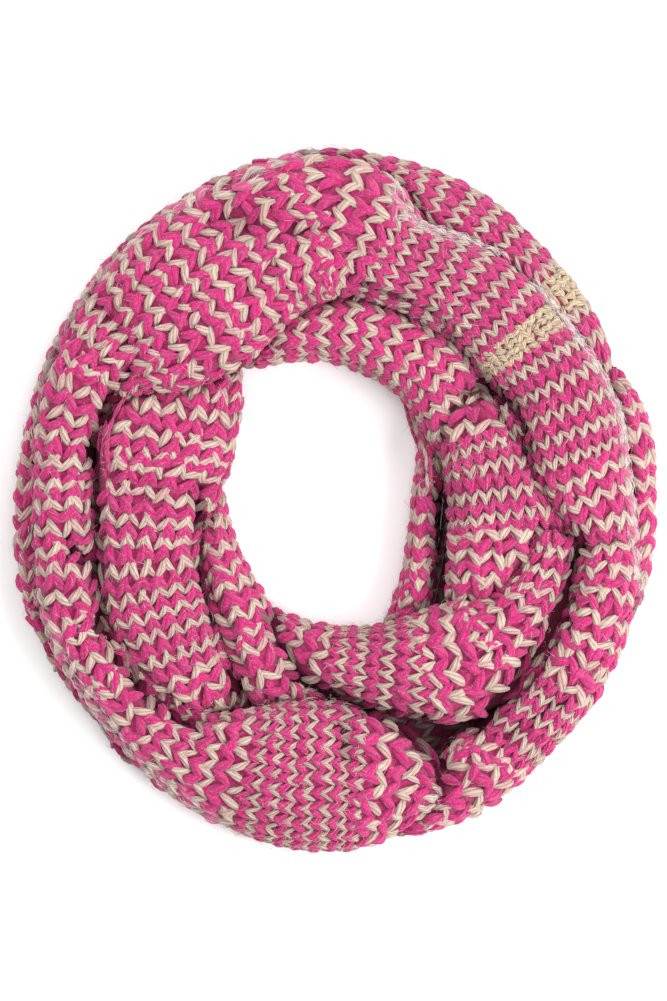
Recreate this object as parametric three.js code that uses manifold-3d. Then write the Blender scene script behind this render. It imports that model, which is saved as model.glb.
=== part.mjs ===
// Infinity scarf of chunky two-colour knit, wound twice and laid flat on a table.
// Millimetres, +Z up, the table at z = 0, +Y towards the far side of the ring.
// Each stretch of cloth that shows is an arched wall of knit over one core of hidden layers.
import * as THREE from 'three';
import { mergeVertices } from 'three/addons/utils/BufferGeometryUtils.js';
import Module from 'manifold-3d';

const wasm = await Module();
wasm.setup();
const { Manifold, Mesh } = wasm;

// Driving sizes of the cloth
const CLOTH = 5;
const GAP = 0.4;
const TUCK = 9;

// How finely the cloth is drawn: the distance between sections and the steps round each one
const STEP = 19;
const FACE = { arch: 9, curl: 2 };
const COVER = { arch: 6, curl: 2 };
const HOLLOW = { detail: { arch: 5, curl: 1 }, floor: -4 };
const CORE_MARGIN = 1.5;
const SAMPLES_PER_ROW = 20;
const TANGENT_REACH = 20;
const ARCH_FULLNESS = 2.3;
const CURL_SHARE = 0.42;
const LEAST_HALF = 1;
const LEAST_RISE = 0.5;
const ABOVE_ALL = 90;
const SLIVER = 0.08;
const MERGE = 1e-3;

// The ring of hidden layers at the bottom of the pile
const RING_MIDDLE = { x: -7, y: 4 };
const RING_HOLE = { halfX: 71, halfY: 100 };
const RING_EDGE = { halfX: 172, halfY: 190 };
const RING_TOP = 20;
const RING_LAYERS = 2;
const RING_STEPS = 40;
const EDGE_ROUND = 4;

// Colours of the knit and of the plain joined band
const KNIT = 0xc8507f;
const HIDDEN = 0x9c2f62;
const CREAM = 0xe4cfa4;

// A row is one section of a path, in the order in which the cloth runs: anticlockwise from above.
// x, y is the middle of the section, half its half width, top its crest, baseIn and baseOut its
// feet on the side of the hole and outside, and tilt lifts its side towards the hole.
const COLUMNS = ['x', 'y', 'half', 'top', 'baseIn', 'baseOut', 'tilt'];

const PATHS = {
  longTurn: [
    [12, -188, 17, 30, 22, 0, 0],
    [44, -182, 19, 38, 22, 0, 0],
    [74, -172, 20, 43, 22, 0, 0],
    [100, -150, 22, 46, 22, 2, 0],
    [125, -122, 24, 47, 22, 6, 0],
    [146, -92, 23, 48, 22, 10, 0],
    [159, -63, 20, 49, 22, 14, 0],
    [163, -36, 18, 51, 22, 18, 0],
    [160, -14, 20, 54, 22, 22, 0],
    [152, 8, 25, 57, 26, 26, 0],
    [142, 38, 30, 60, 28, 28, -1],
    [130, 66, 32, 62, 30, 30, -2],
    [112, 92, 27, 62, 30, 30, -2],
    [90, 116, 28, 62, 30, 30, 0],
    [64, 132, 27, 60, 30, 30, 2],
    [40, 142, 27, 59, 30, 30, 3],
    [18, 158, 38, 59, 28, 28, 4],
    [-8, 163, 44, 60, 26, 26, 5],
    [-34, 157, 44, 61, 26, 26, 5],
    [-61, 141, 48, 60, 26, 26, 5],
    [-87, 120, 50, 59, 26, 26, 5],
    [-114, 100, 40, 57, 26, 26, 3],
    [-139, 83, 27, 54, 26, 26, 0],
    [-155, 56, 20, 52, 24, 24, 0],
    [-162, 24, 18, 50, 22, 22, 0],
    [-162, -12, 18, 49, 22, 22, 0],
    [-160, -44, 18, 47, 22, 20, 0],
    [-155, -74, 19, 46, 22, 18, 0],
    [-142, -99, 19, 46, 22, 16, 0],
    [-121, -127, 19, 46, 22, 12, 1],
    [-96, -149, 24, 48, 22, 8, 2],
    [-66, -160, 33, 51, 22, 4, 3],
    [-30, -165, 43, 54, 22, 0, 4],
    [7, -167, 44, 54, 22, 0, 4],
    [34, -170, 36, 50, 22, 2, 3],
    [54, -175, 21, 44, 17, 7, 0],
    [66, -180, 8, 34, 11, 10, 0],
  ],
  topInner: [
    [90, 8, 22, 40, 0, 22, 0],
    [82, 36, 24, 44, 0, 22, 0],
    [74, 58, 25, 46, 0, 22, 0],
    [60, 80, 26, 46, 0, 22, 2],
    [38, 96, 26, 46, 0, 22, 3],
    [10, 104, 22, 46, 0, 22, 3],
    [-18, 106, 21, 46, 0, 22, 3],
    [-46, 107, 26, 44, 0, 22, 2],
    [-70, 112, 30, 40, 0, 22, 0],
  ],
  innerLeft: [
    [-92, 104, 34, 38, 0, 22, 0],
    [-98, 66, 42, 44, 0, 22, 0],
    [-104, 32, 42, 49, 0, 22, 0],
    [-109, 4, 37, 50, 14, 22, 0],
    [-112, -24, 33, 49, 14, 22, 0],
    [-108, -58, 34, 47, 14, 22, 0],
    [-98, -90, 34, 44, 14, 22, 0],
    [-84, -120, 29, 38, 14, 22, 0],
    [-72, -144, 24, 30, 14, 22, 0],
  ],
  innermostLeft: [
    [-83, 50, 14, 30, 0, 16, 0],
    [-82, 20, 13, 32, 0, 16, 0],
    [-80, -6, 14, 34, 0, 16, 0],
    [-74, -34, 16, 37, 0, 16, 0],
    [-62, -64, 19, 40, 0, 16, 0],
    [-46, -93, 19, 42, 6, 16, 0],
    [-29, -116, 17, 38, 12, 16, 0],
    [-6, -132, 14, 32, 12, 16, 0],
  ],
  bottomInner: [
    [-58, -74, 9, 24, 0, 8, 0],
    [-34, -84, 15, 34, 0, 14, 0],
    [-8, -96, 20, 42, 0, 20, 0],
    [24, -101, 25, 49, 0, 22, 0],
    [56, -101, 33, 54, 8, 22, 0],
    [86, -94, 34, 55, 22, 22, 0],
    [111, -76, 25, 53, 24, 22, 0],
    [127, -50, 18, 50, 26, 22, 0],
    [135, -22, 13, 45, 28, 22, 0],
  ],
  midRight: [
    [102, -88, 34, 40, 22, 22, 0],
    [107, -52, 39, 47, 22, 22, 0],
    [108, -20, 39, 49, 22, 22, 0],
    [103, 12, 36, 51, 22, 22, 0],
    [96, 38, 32, 50, 22, 22, 0],
    [91, 54, 25, 46, 22, 22, 0],
    [88, 64, 14, 38, 22, 22, 0],
  ],
  rightInnerEdge: [
    [34, -88, 10, 26, 0, 0, 0],
    [44, -70, 10, 29, 0, 0, 0],
    [51, -46, 9, 31, 0, 0, 0],
    [55, -18, 9, 32, 0, 0, 0],
    [58, 8, 9, 32, 0, 0, 0],
    [61, 32, 9, 32, 0, 0, 0],
    [58, 56, 9, 31, 0, 0, 0],
  ],
};

// Lower layers follow the garment's outer edge: here x, y is a point of that edge.
const EDGES = {
  underTurn: [
    [158, 20, 24, 30, 22, 0, 0],
    [166, 62, 26, 32, 22, 0, 0],
    [165, 92, 28, 34, 22, 0, 0],
    [150, 122, 30, 36, 22, 0, 0],
    [128, 149, 32, 38, 22, 0, 0],
    [99, 177, 34, 38, 22, 0, 0],
    [69, 195, 34, 37, 22, 0, 0],
    [38, 205, 32, 36, 22, 0, 0],
    [6, 211, 30, 34, 22, 0, 0],
    [-28, 208, 28, 32, 22, 0, 0],
    [-66, 194, 28, 33, 22, 0, 0],
    [-96, 179, 28, 34, 22, 0, 0],
    [-117, 163, 28, 35, 22, 0, 0],
    [-138, 142, 28, 35, 22, 0, 0],
    [-156, 116, 28, 34, 22, 0, 0],
    [-171, 89, 28, 33, 22, 0, 0],
    [-181, 60, 28, 32, 22, 0, 0],
    [-188, 30, 28, 32, 22, 0, 0],
    [-192, -6, 28, 31, 22, 0, 0],
    [-191, -42, 28, 30, 22, 0, 0],
    [-183, -72, 28, 29, 21, 0, 0],
    [-168, -100, 27, 28, 20, 0, 0],
    [-147, -130, 26, 27, 19, 0, 0],
    [-123, -157, 25, 26, 18, 0, 0],
    [-96, -178, 24, 24, 16, 0, 0],
    [-68, -194, 22, 20, 12, 0, 0],
  ],
  rightRim: [
    [150, -114, 20, 26, 18, 0, 0],
    [172, -84, 22, 32, 22, 0, 0],
    [185, -58, 24, 35, 22, 0, 0],
    [191, -28, 26, 37, 22, 0, 0],
    [192.2, 0, 26, 38, 22, 0, 0],
    [191, 36, 26, 37, 22, 0, 0],
    [183, 60, 24, 35, 22, 0, 0],
    [169, 80, 22, 31, 22, 0, 0],
    [152, 104, 20, 26, 18, 0, 0],
  ],
};

// Runs of cloth from the uppermost down, and the stretches that show of each. to counts rows of
// the path, and a thin run has no hidden layers inside it.
const RUNS = [
  {
    path: 'longTurn',
    from: 7.4,
    stretches: [
      { name: 'right_turn', to: 11.8 },
      { name: 'joined_band', to: 12.3, colour: CREAM },
      { name: 'top_turn', to: 22 },
      { name: 'left_turn', to: 29.5 },
      { name: 'bottom_turn', to: 36 },
    ],
  },
  { path: 'innerLeft', stretches: [{ name: 'inner_left', to: 8 }] },
  { path: 'innermostLeft', thin: true, stretches: [{ name: 'innermost_left', to: 7 }] },
  { path: 'bottomInner', stretches: [{ name: 'bottom_inner', to: 8 }] },
  { path: 'longTurn', stretches: [{ name: 'right_lower', to: 7.4 }] },
  { path: 'midRight', stretches: [{ name: 'mid_right', to: 6 }] },
  { path: 'topInner', stretches: [{ name: 'top_inner', to: 8 }] },
  { path: 'rightInnerEdge', thin: true, stretches: [{ name: 'right_inner_edge', to: 6 }] },
  {
    path: 'underTurn',
    stretches: [{ name: 'under_top_right', to: 9 }, { name: 'under_left', to: 25 }],
  },
  { path: 'rightRim', stretches: [{ name: 'right_rim', to: 8 }] },
];

// The largest folds: a soft trough from one point to another in plan, or a ridge where depth < 0.
const FOLDS = [
  { name: 'left notch', x0: -159, y0: -34, x1: -140, y1: -42, depth: 7, breadth: 6 },
  { name: 'top dent', x0: -66, y0: 166, x1: -27, y1: 159, depth: 5, breadth: 12 },
  { name: 'top left dent', x0: -141, y0: 114, x1: -122, y1: 93, depth: 5, breadth: 9 },
  { name: 'top soft crease', x0: -51, y0: 128, x1: -3, y1: 119, depth: 4, breadth: 9 },
  { name: 'bottom dent', x0: 3, y0: -134, x1: 6, y1: -154, depth: 5, breadth: 7 },
  { name: 'lower right crease', x0: 101, y0: -143, x1: 136, y1: -121, depth: 5, breadth: 7 },
  { name: 'mid right hollow', x0: 95, y0: 66, x1: 106, y1: 56, depth: 9, breadth: 11 },
  { name: 'mid right ridge', x0: 82, y0: 8, x1: 84, y1: -50, depth: -4, breadth: 9 },
  { name: 'inner left pucker', x0: -118, y0: 3, x1: -82, y1: 8, depth: 4, breadth: 7 },
  { name: 'right pinch', x0: 150, y0: -32, x1: 176, y1: -26, depth: 4, breadth: 9 },
];

function blend(before, start, end, after, share) {
  const cubic = -before + 3 * start - 3 * end + after;
  const square = 2 * before - 5 * start + 4 * end - after;
  return start + (share * (end - before + share * (square + share * cubic))) / 2;
}

function distance(a, b) {
  return Math.hypot(a.x - b.x, a.y - b.y);
}

// A smooth path through its rows, measured along its length.
class Path {
  constructor(rows, followsEdge) {
    this.lastRow = rows.length - 1;
    this.samples = Path.smooth(rows.map((row) =>
      Object.fromEntries(COLUMNS.map((column, index) => [column, row[index]]))));
    this.measure();
    if (followsEdge) {
      this.moveInwards();
      this.measure();
    }
  }

  static smooth(rows) {
    const samples = [];
    for (let row = 0; row < rows.length - 1; row += 1) {
      const near = [row - 1, row, row + 1, row + 2]
        .map((index) => rows[THREE.MathUtils.clamp(index, 0, rows.length - 1)]);
      for (let step = 0; step < SAMPLES_PER_ROW; step += 1) {
        const share = step / SAMPLES_PER_ROW;
        samples.push(Object.fromEntries(COLUMNS.map((column) =>
          [column, blend(...near.map((entry) => entry[column]), share)])));
      }
    }
    samples.push({ ...rows.at(-1) });
    return samples;
  }

  measure() {
    let along = 0;
    this.samples.forEach((sample, index) => {
      if (index > 0) along += distance(sample, this.samples[index - 1]);
      sample.along = along;
    });
    this.length = along;
  }

  moveInwards() {
    const moved = this.samples.map((sample) => {
      const { inX, inY } = this.heading(sample.along);
      return { ...sample, x: sample.x + inX * sample.half, y: sample.y + inY * sample.half };
    });
    this.samples = moved;
  }

  // Every solid along the path has its sections at the same stops, the ends of stretches included.
  setStops(ends) {
    this.stops = [0];
    for (const end of [...ends].sort((a, b) => a - b)) {
      const from = this.stops.at(-1);
      const count = Math.max(1, Math.round((end - from) / STEP));
      for (let step = 1; step <= count; step += 1) {
        this.stops.push(THREE.MathUtils.lerp(from, end, step / count));
      }
    }
  }

  lowestBase() {
    return Math.min(...this.samples.map((sample) => Math.min(sample.baseIn, sample.baseOut)));
  }

  placeOfRow(row) {
    return this.samples[Math.round(row * SAMPLES_PER_ROW)].along;
  }

  at(along) {
    const place = THREE.MathUtils.clamp(along, 0, this.length);
    let index = this.samples.findIndex((sample) => sample.along >= place);
    index = Math.max(index, 1);
    const before = this.samples[index - 1];
    const after = this.samples[index];
    const share = (place - before.along) / (after.along - before.along);
    const row = Object.fromEntries(COLUMNS.map((column) =>
      [column, THREE.MathUtils.lerp(before[column], after[column], share)]));
    const beyond = (along - place) / distance(before, after);
    row.x += beyond * (after.x - before.x);
    row.y += beyond * (after.y - before.y);
    row.baseIn = Math.max(row.baseIn, 0);
    row.baseOut = Math.max(row.baseOut, 0);
    return row;
  }

  // The unit direction across the cloth, towards the hole, smoothed over a short reach.
  heading(along) {
    const behind = this.at(along - TANGENT_REACH);
    const ahead = this.at(along + TANGENT_REACH);
    const length = distance(behind, ahead);
    return { inX: -(ahead.y - behind.y) / length, inY: (ahead.x - behind.x) / length };
  }
}

function foldDepth(x, y) {
  return FOLDS.reduce((total, fold) => {
    const runX = fold.x1 - fold.x0;
    const runY = fold.y1 - fold.y0;
    const share = THREE.MathUtils.clamp(
      ((x - fold.x0) * runX + (y - fold.y0) * runY) / (runX * runX + runY * runY), 0, 1);
    const away = Math.hypot(x - fold.x0 - share * runX, y - fold.y0 - share * runY);
    return total + fold.depth * Math.exp(-((away / fold.breadth) ** 2));
  }, 0);
}

function atLeast(half) {
  return Math.max(half, LEAST_HALF);
}

// One section: a full arch over two edges that curl in under it to its feet.
// inset moves it inwards from the face of the cloth, and floor takes its feet down to a height.
function sectionPoints(path, along, { inset = 0, floor = undefined, detail = FACE }) {
  const row = path.at(along);
  const { inX, inY } = path.heading(along);
  const half = atLeast(row.half - inset);
  const sideOf = (side) => {
    const base = side > 0 ? row.baseIn : row.baseOut;
    const curl = Math.min(CURL_SHARE * (row.top - base), 0.6 * row.half);
    const foot = floor ?? base + Math.min(inset, 0);
    return { curl, foot, shoulder: base + curl };
  };
  const points = [];
  const add = (across, z) => points.push([row.x + inX * across, row.y + inY * across, z]);
  const addCurl = (side, step) => {
    const { curl, foot, shoulder } = sideOf(side);
    if (step === 0) {
      add(side * atLeast(row.half - curl - inset), foot);
      return;
    }
    const angle = (0.5 * Math.PI * step) / detail.curl;
    const radius = Math.max(curl - inset, 0);
    add(side * (half - radius * (1 - Math.sin(angle))), shoulder - radius * Math.cos(angle));
  };

  for (let step = 0; step < detail.curl; step += 1) addCurl(-1, step);
  for (let step = 0; step <= detail.arch; step += 1) {
    const angle = Math.PI * (1 - step / detail.arch);
    const wide = Math.sign(Math.cos(angle)) * Math.abs(Math.cos(angle)) ** (2 / ARCH_FULLNESS);
    const high = Math.abs(Math.sin(angle)) ** (2 / ARCH_FULLNESS);
    const across = half * wide;
    const { shoulder } = sideOf(wide);
    const sag = foldDepth(row.x + inX * across, row.y + inY * across);
    const rise = row.top - shoulder - inset + row.tilt * wide - sag;
    add(across, shoulder + high * Math.max(rise, LEAST_RISE));
  }
  for (let step = detail.curl - 1; step >= 0; step -= 1) addCurl(1, step);
  return points;
}

function toSolid(vertices, triangles) {
  return new Manifold(new Mesh({
    numProp: 3,
    vertProperties: new Float32Array(vertices.flat()),
    triVerts: new Uint32Array(triangles.flat()),
  }));
}

// A solid through the sections of a path between two places along it.
function loft(path, start, end, section) {
  const between = path.stops.filter((stop) => stop > start && stop < end);
  const rings = [start, ...between, end].map(section);
  const count = rings.length - 1;
  const size = rings[0].length;
  const vertices = rings.flat();
  const triangles = [];
  for (let ring = 0; ring < count; ring += 1) {
    for (let point = 0; point < size; point += 1) {
      const next = (point + 1) % size;
      const a = ring * size + point;
      const b = ring * size + next;
      triangles.push([a, b + size, b], [a, a + size, b + size]);
    }
  }
  for (const [ring, turned] of [[0, false], [count, true]]) {
    const middle = vertices.length;
    const corners = rings[ring];
    vertices.push([0, 1, 2].map((axis) =>
      corners.reduce((sum, corner) => sum + corner[axis], 0) / size));
    for (let point = 0; point < size; point += 1) {
      const a = ring * size + point;
      const b = ring * size + ((point + 1) % size);
      triangles.push(turned ? [middle, b, a] : [middle, a, b]);
    }
  }
  return toSolid(vertices, triangles);
}

function sweep(path, start, end, shape = {}) {
  return loft(path, start, end, (along) => sectionPoints(path, along, shape));
}

// Where the lower layers end under a stretch.
function shadow(path, start, end) {
  return loft(path, start, end, (along) => {
    const row = path.at(along);
    const { inX, inY } = path.heading(along);
    const half = atLeast(row.half - TUCK);
    return [[-half, HOLLOW.floor], [-half, ABOVE_ALL], [half, ABOVE_ALL], [half, HOLLOW.floor]]
      .map(([across, z]) => [row.x + inX * across, row.y + inY * across, z]);
  });
}

// The layers at the bottom of the pile: a ring with two rounded folds round each edge.
function layeredRing() {
  const layer = RING_TOP / RING_LAYERS;
  const rings = [];
  for (let step = 0; step < RING_STEPS; step += 1) {
    const turn = (2 * Math.PI * step) / RING_STEPS;
    const direction = [Math.cos(turn), Math.sin(turn)];
    const inner = reach(RING_HOLE, direction);
    const outer = reach(RING_EDGE, direction);
    const profile = [];
    for (let fold = 0; fold < RING_LAYERS; fold += 1) {
      profile.push([outer - EDGE_ROUND, fold * layer], [outer, (fold + 0.5) * layer]);
    }
    profile.push([outer - EDGE_ROUND, RING_TOP], [inner + EDGE_ROUND, RING_TOP]);
    for (let fold = RING_LAYERS - 1; fold >= 0; fold -= 1) {
      profile.push([inner, (fold + 0.5) * layer], [inner + EDGE_ROUND, fold * layer]);
    }
    rings.push(profile.map(([radius, z]) =>
      [RING_MIDDLE.x + radius * direction[0], RING_MIDDLE.y + radius * direction[1], z]));
  }
  const size = rings[0].length;
  const triangles = [];
  for (let ring = 0; ring < RING_STEPS; ring += 1) {
    for (let point = 0; point < size; point += 1) {
      const here = ring * size;
      const ahead = ((ring + 1) % RING_STEPS) * size;
      const next = (point + 1) % size;
      triangles.push([here + point, ahead + point, ahead + next]);
      triangles.push([here + point, ahead + next, here + next]);
    }
  }
  return toSolid(rings.flat(), triangles);
}

// The distance from the middle of an ellipse to its edge.
function reach({ halfX, halfY }, [x, y]) {
  return 1 / Math.hypot(x / halfX, y / halfY);
}

function largest(solid) {
  return solid.decompose().reduce((best, piece) =>
    (piece.volume() > best.volume() ? piece : best));
}

// The one body that is left once corners closer than a micrometre or so are merged.
function oneBody(solid) {
  const { vertProperties, triVerts } = solid.asOriginal().simplify(SLIVER).getMesh();
  const geometry = new THREE.BufferGeometry();
  geometry.setAttribute('position', new THREE.BufferAttribute(vertProperties, 3));
  geometry.setIndex(new THREE.BufferAttribute(triVerts, 1));
  const merged = mergeVertices(geometry, MERGE);
  return largest(new Manifold(new Mesh({
    numProp: 3,
    vertProperties: merged.attributes.position.array,
    triVerts: new Uint32Array(merged.index.array),
  })));
}

function cutFrom(solid, cutters) {
  return cutters.reduce((rest, cutter) => rest.subtract(cutter), solid);
}

function toNode(name, solid, colour) {
  const { vertProperties, triVerts } = solid.getMesh();
  const geometry = new THREE.BufferGeometry();
  geometry.setAttribute('position', new THREE.BufferAttribute(new Float32Array(vertProperties), 3));
  geometry.setIndex(new THREE.BufferAttribute(new Uint32Array(triVerts), 1));
  geometry.computeVertexNormals();
  const material = new THREE.MeshStandardMaterial({ color: colour, roughness: 1, metalness: 0 });
  const mesh = new THREE.Mesh(geometry, material);
  mesh.name = name;
  return mesh;
}

const paths = Object.fromEntries([
  ...Object.entries(PATHS).map(([name, rows]) => [name, new Path(rows, false)]),
  ...Object.entries(EDGES).map(([name, rows]) => [name, new Path(rows, true)]),
]);

for (const [name, path] of Object.entries(paths)) {
  const runs = RUNS.filter((run) => run.path === name);
  path.setStops(runs.flatMap((run) => run.stretches.map(({ to }) => path.placeOfRow(to))));
}

const scarf = new THREE.Group();
const covers = [];
const shadows = [];
const coreCovers = [];
const lowCovers = [];
const fillings = [];

for (const run of RUNS) {
  const path = paths[run.path];
  const start = path.placeOfRow(run.from ?? 0);
  const end = path.placeOfRow(run.stretches.at(-1).to);
  let from = start;
  for (const { name, to, colour } of run.stretches) {
    const until = path.placeOfRow(to);
    const face = sweep(path, from + GAP / 2, until - GAP / 2);
    const hollow = sweep(path, from - 1, until + 1, { ...HOLLOW, inset: CLOTH });
    scarf.add(toNode(name, oneBody(cutFrom(face, [hollow, ...covers, ...shadows])), colour ?? KNIT));
    from = until;
  }

  const cover = sweep(path, start - 1, end + 1, { inset: -CORE_MARGIN, detail: COVER });
  const onTable = path.lowestBase() < RING_TOP;
  if (onTable) lowCovers.push(cover);
  if (!run.thin) {
    const shape = { ...HOLLOW, inset: CLOTH + CORE_MARGIN, floor: onTable ? 0 : RING_TOP - 1 };
    const filled = path.stops.filter((stop) => stop > start && stop < end);
    fillings.push(cutFrom(sweep(path, filled[0], filled.at(-1), shape), coreCovers));
  }
  coreCovers.push(cover);
  covers.push(sweep(path, start - GAP / 2, end + GAP / 2, { inset: -GAP }));
  shadows.push(shadow(path, start, end));
}

const ring = cutFrom(layeredRing(), lowCovers);
const core = fillings.reduce((sum, filling) => sum.add(filling), ring);
scarf.add(toNode('hidden_layers', oneBody(core), HIDDEN));

export default scarf;
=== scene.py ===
"""Infinity scarf of chunky two-colour knit, wound twice and laid flat in a ring.

Each stretch of cloth that shows is a thin shell swept along a path, with the knit's legs of yarn and
its hairs laid on it by Geometry Nodes. Tables are in millimetres and meshes in metres, +Z up from the
table, +Y towards the far side of the ring.
"""
import logging
import math
from dataclasses import dataclass
from enum import Enum, IntEnum

import bpy
import numpy as np
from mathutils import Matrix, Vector


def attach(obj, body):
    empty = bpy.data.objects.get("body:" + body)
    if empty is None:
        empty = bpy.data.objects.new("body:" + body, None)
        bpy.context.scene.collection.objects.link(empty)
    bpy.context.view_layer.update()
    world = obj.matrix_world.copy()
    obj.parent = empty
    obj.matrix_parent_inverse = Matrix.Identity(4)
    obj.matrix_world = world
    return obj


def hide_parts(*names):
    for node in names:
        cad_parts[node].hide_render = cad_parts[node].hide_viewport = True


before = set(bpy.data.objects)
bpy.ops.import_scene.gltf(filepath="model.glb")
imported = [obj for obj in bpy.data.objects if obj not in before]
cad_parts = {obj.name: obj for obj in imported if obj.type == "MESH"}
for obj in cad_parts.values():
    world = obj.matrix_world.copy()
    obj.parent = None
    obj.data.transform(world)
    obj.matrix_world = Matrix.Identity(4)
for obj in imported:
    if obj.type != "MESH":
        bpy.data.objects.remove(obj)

logging.basicConfig(level=logging.INFO, format="%(name)s: %(message)s")
LOG = logging.getLogger("scarf")

MM = 0.001

SAMPLES_PER_ROW = 20
TANGENT_REACH = 20.0
ARCH_FULLNESS = 2.3
CURL_SHARE = 0.42
CURL_OF_HALF = 0.6
LEAST_HALF = 1.0
LEAST_RISE = 0.5
RING_MIDDLE = (-7.0, 4.0)
RING_RADIUS = 130.0


class Column(IntEnum):
    """The columns of a path's table."""

    X = 0
    Y = 1
    HALF = 2
    TOP = 3
    BASE_IN = 4
    BASE_OUT = 5
    TILT = 6


class Route(Enum):
    """The paths that the cloth follows. Each value is the path's name."""

    LONG_TURN = "long_turn"
    TOP_INNER = "top_inner"
    INNER_LEFT = "inner_left"
    INNERMOST_LEFT = "innermost_left"
    BOTTOM_INNER = "bottom_inner"
    MID_RIGHT = "mid_right"
    RIGHT_INNER_EDGE = "right_inner_edge"
    UNDER_TURN = "under_turn"
    RIGHT_RIM = "right_rim"


class Yarn(IntEnum):
    """Colours of yarn, as the number that the yarn attribute holds."""

    MAGENTA = 0
    BEIGE = 1
    CREAM = 2


MIDDLE_ROWS: dict[Route, list[tuple[float, ...]]] = {
    Route.LONG_TURN: [
        (12, -188, 17, 30, 22, 0, 0),
        (44, -182, 19, 38, 22, 0, 0),
        (74, -172, 20, 43, 22, 0, 0),
        (100, -150, 22, 46, 22, 2, 0),
        (125, -122, 24, 47, 22, 6, 0),
        (146, -92, 23, 48, 22, 10, 0),
        (159, -63, 20, 49, 22, 14, 0),
        (163, -36, 18, 51, 22, 18, 0),
        (160, -14, 20, 54, 22, 22, 0),
        (152, 8, 25, 57, 26, 26, 0),
        (142, 38, 30, 60, 28, 28, -1),
        (130, 66, 32, 62, 30, 30, -2),
        (112, 92, 27, 62, 30, 30, -2),
        (90, 116, 28, 62, 30, 30, 0),
        (64, 132, 27, 60, 30, 30, 2),
        (40, 142, 27, 59, 30, 30, 3),
        (18, 158, 38, 59, 28, 28, 4),
        (-8, 163, 44, 60, 26, 26, 5),
        (-34, 157, 44, 61, 26, 26, 5),
        (-61, 141, 48, 60, 26, 26, 5),
        (-87, 120, 50, 59, 26, 26, 5),
        (-114, 100, 40, 57, 26, 26, 3),
        (-139, 83, 27, 54, 26, 26, 0),
        (-155, 56, 20, 52, 24, 24, 0),
        (-162, 24, 18, 50, 22, 22, 0),
        (-162, -12, 18, 49, 22, 22, 0),
        (-160, -44, 18, 47, 22, 20, 0),
        (-155, -74, 19, 46, 22, 18, 0),
        (-142, -99, 19, 46, 22, 16, 0),
        (-121, -127, 19, 46, 22, 12, 1),
        (-96, -149, 24, 48, 22, 8, 2),
        (-66, -160, 33, 51, 22, 4, 3),
        (-30, -165, 43, 54, 22, 0, 4),
        (7, -167, 44, 54, 22, 0, 4),
        (34, -170, 36, 50, 22, 2, 3),
        (54, -175, 21, 44, 17, 7, 0),
        (66, -180, 8, 34, 11, 10, 0),
    ],
    Route.TOP_INNER: [
        (90, 8, 22, 40, 0, 22, 0),
        (82, 36, 24, 44, 0, 22, 0),
        (74, 58, 25, 46, 0, 22, 0),
        (60, 80, 26, 46, 0, 22, 2),
        (38, 96, 26, 46, 0, 22, 3),
        (10, 104, 22, 46, 0, 22, 3),
        (-18, 106, 21, 46, 0, 22, 3),
        (-46, 107, 26, 44, 0, 22, 2),
        (-70, 112, 30, 40, 0, 22, 0),
    ],
    Route.INNER_LEFT: [
        (-92, 104, 34, 38, 0, 22, 0),
        (-98, 66, 42, 44, 0, 22, 0),
        (-104, 32, 42, 49, 0, 22, 0),
        (-109, 4, 37, 50, 14, 22, 0),
        (-112, -24, 33, 49, 14, 22, 0),
        (-108, -58, 34, 47, 14, 22, 0),
        (-98, -90, 34, 44, 14, 22, 0),
        (-84, -120, 29, 38, 14, 22, 0),
        (-72, -144, 24, 30, 14, 22, 0),
    ],
    Route.INNERMOST_LEFT: [
        (-83, 50, 14, 30, 0, 16, 0),
        (-82, 20, 13, 32, 0, 16, 0),
        (-80, -6, 14, 34, 0, 16, 0),
        (-74, -34, 16, 37, 0, 16, 0),
        (-62, -64, 19, 40, 0, 16, 0),
        (-46, -93, 19, 42, 6, 16, 0),
        (-29, -116, 17, 38, 12, 16, 0),
        (-6, -132, 14, 32, 12, 16, 0),
    ],
    Route.BOTTOM_INNER: [
        (-58, -74, 9, 24, 0, 8, 0),
        (-34, -84, 15, 34, 0, 14, 0),
        (-8, -96, 20, 42, 0, 20, 0),
        (24, -101, 25, 49, 0, 22, 0),
        (56, -101, 33, 54, 8, 22, 0),
        (86, -94, 34, 55, 22, 22, 0),
        (111, -76, 25, 53, 24, 22, 0),
        (127, -50, 18, 50, 26, 22, 0),
        (135, -22, 13, 45, 28, 22, 0),
    ],
    Route.MID_RIGHT: [
        (102, -88, 34, 40, 22, 22, 0),
        (107, -52, 39, 47, 22, 22, 0),
        (108, -20, 39, 49, 22, 22, 0),
        (103, 12, 36, 51, 22, 22, 0),
        (96, 38, 32, 50, 22, 22, 0),
        (91, 54, 25, 46, 22, 22, 0),
        (88, 64, 14, 38, 22, 22, 0),
    ],
    Route.RIGHT_INNER_EDGE: [
        (34, -88, 10, 26, 0, 0, 0),
        (44, -70, 10, 29, 0, 0, 0),
        (51, -46, 9, 31, 0, 0, 0),
        (55, -18, 9, 32, 0, 0, 0),
        (58, 8, 9, 32, 0, 0, 0),
        (61, 32, 9, 32, 0, 0, 0),
        (58, 56, 9, 31, 0, 0, 0),
    ],
}

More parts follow.
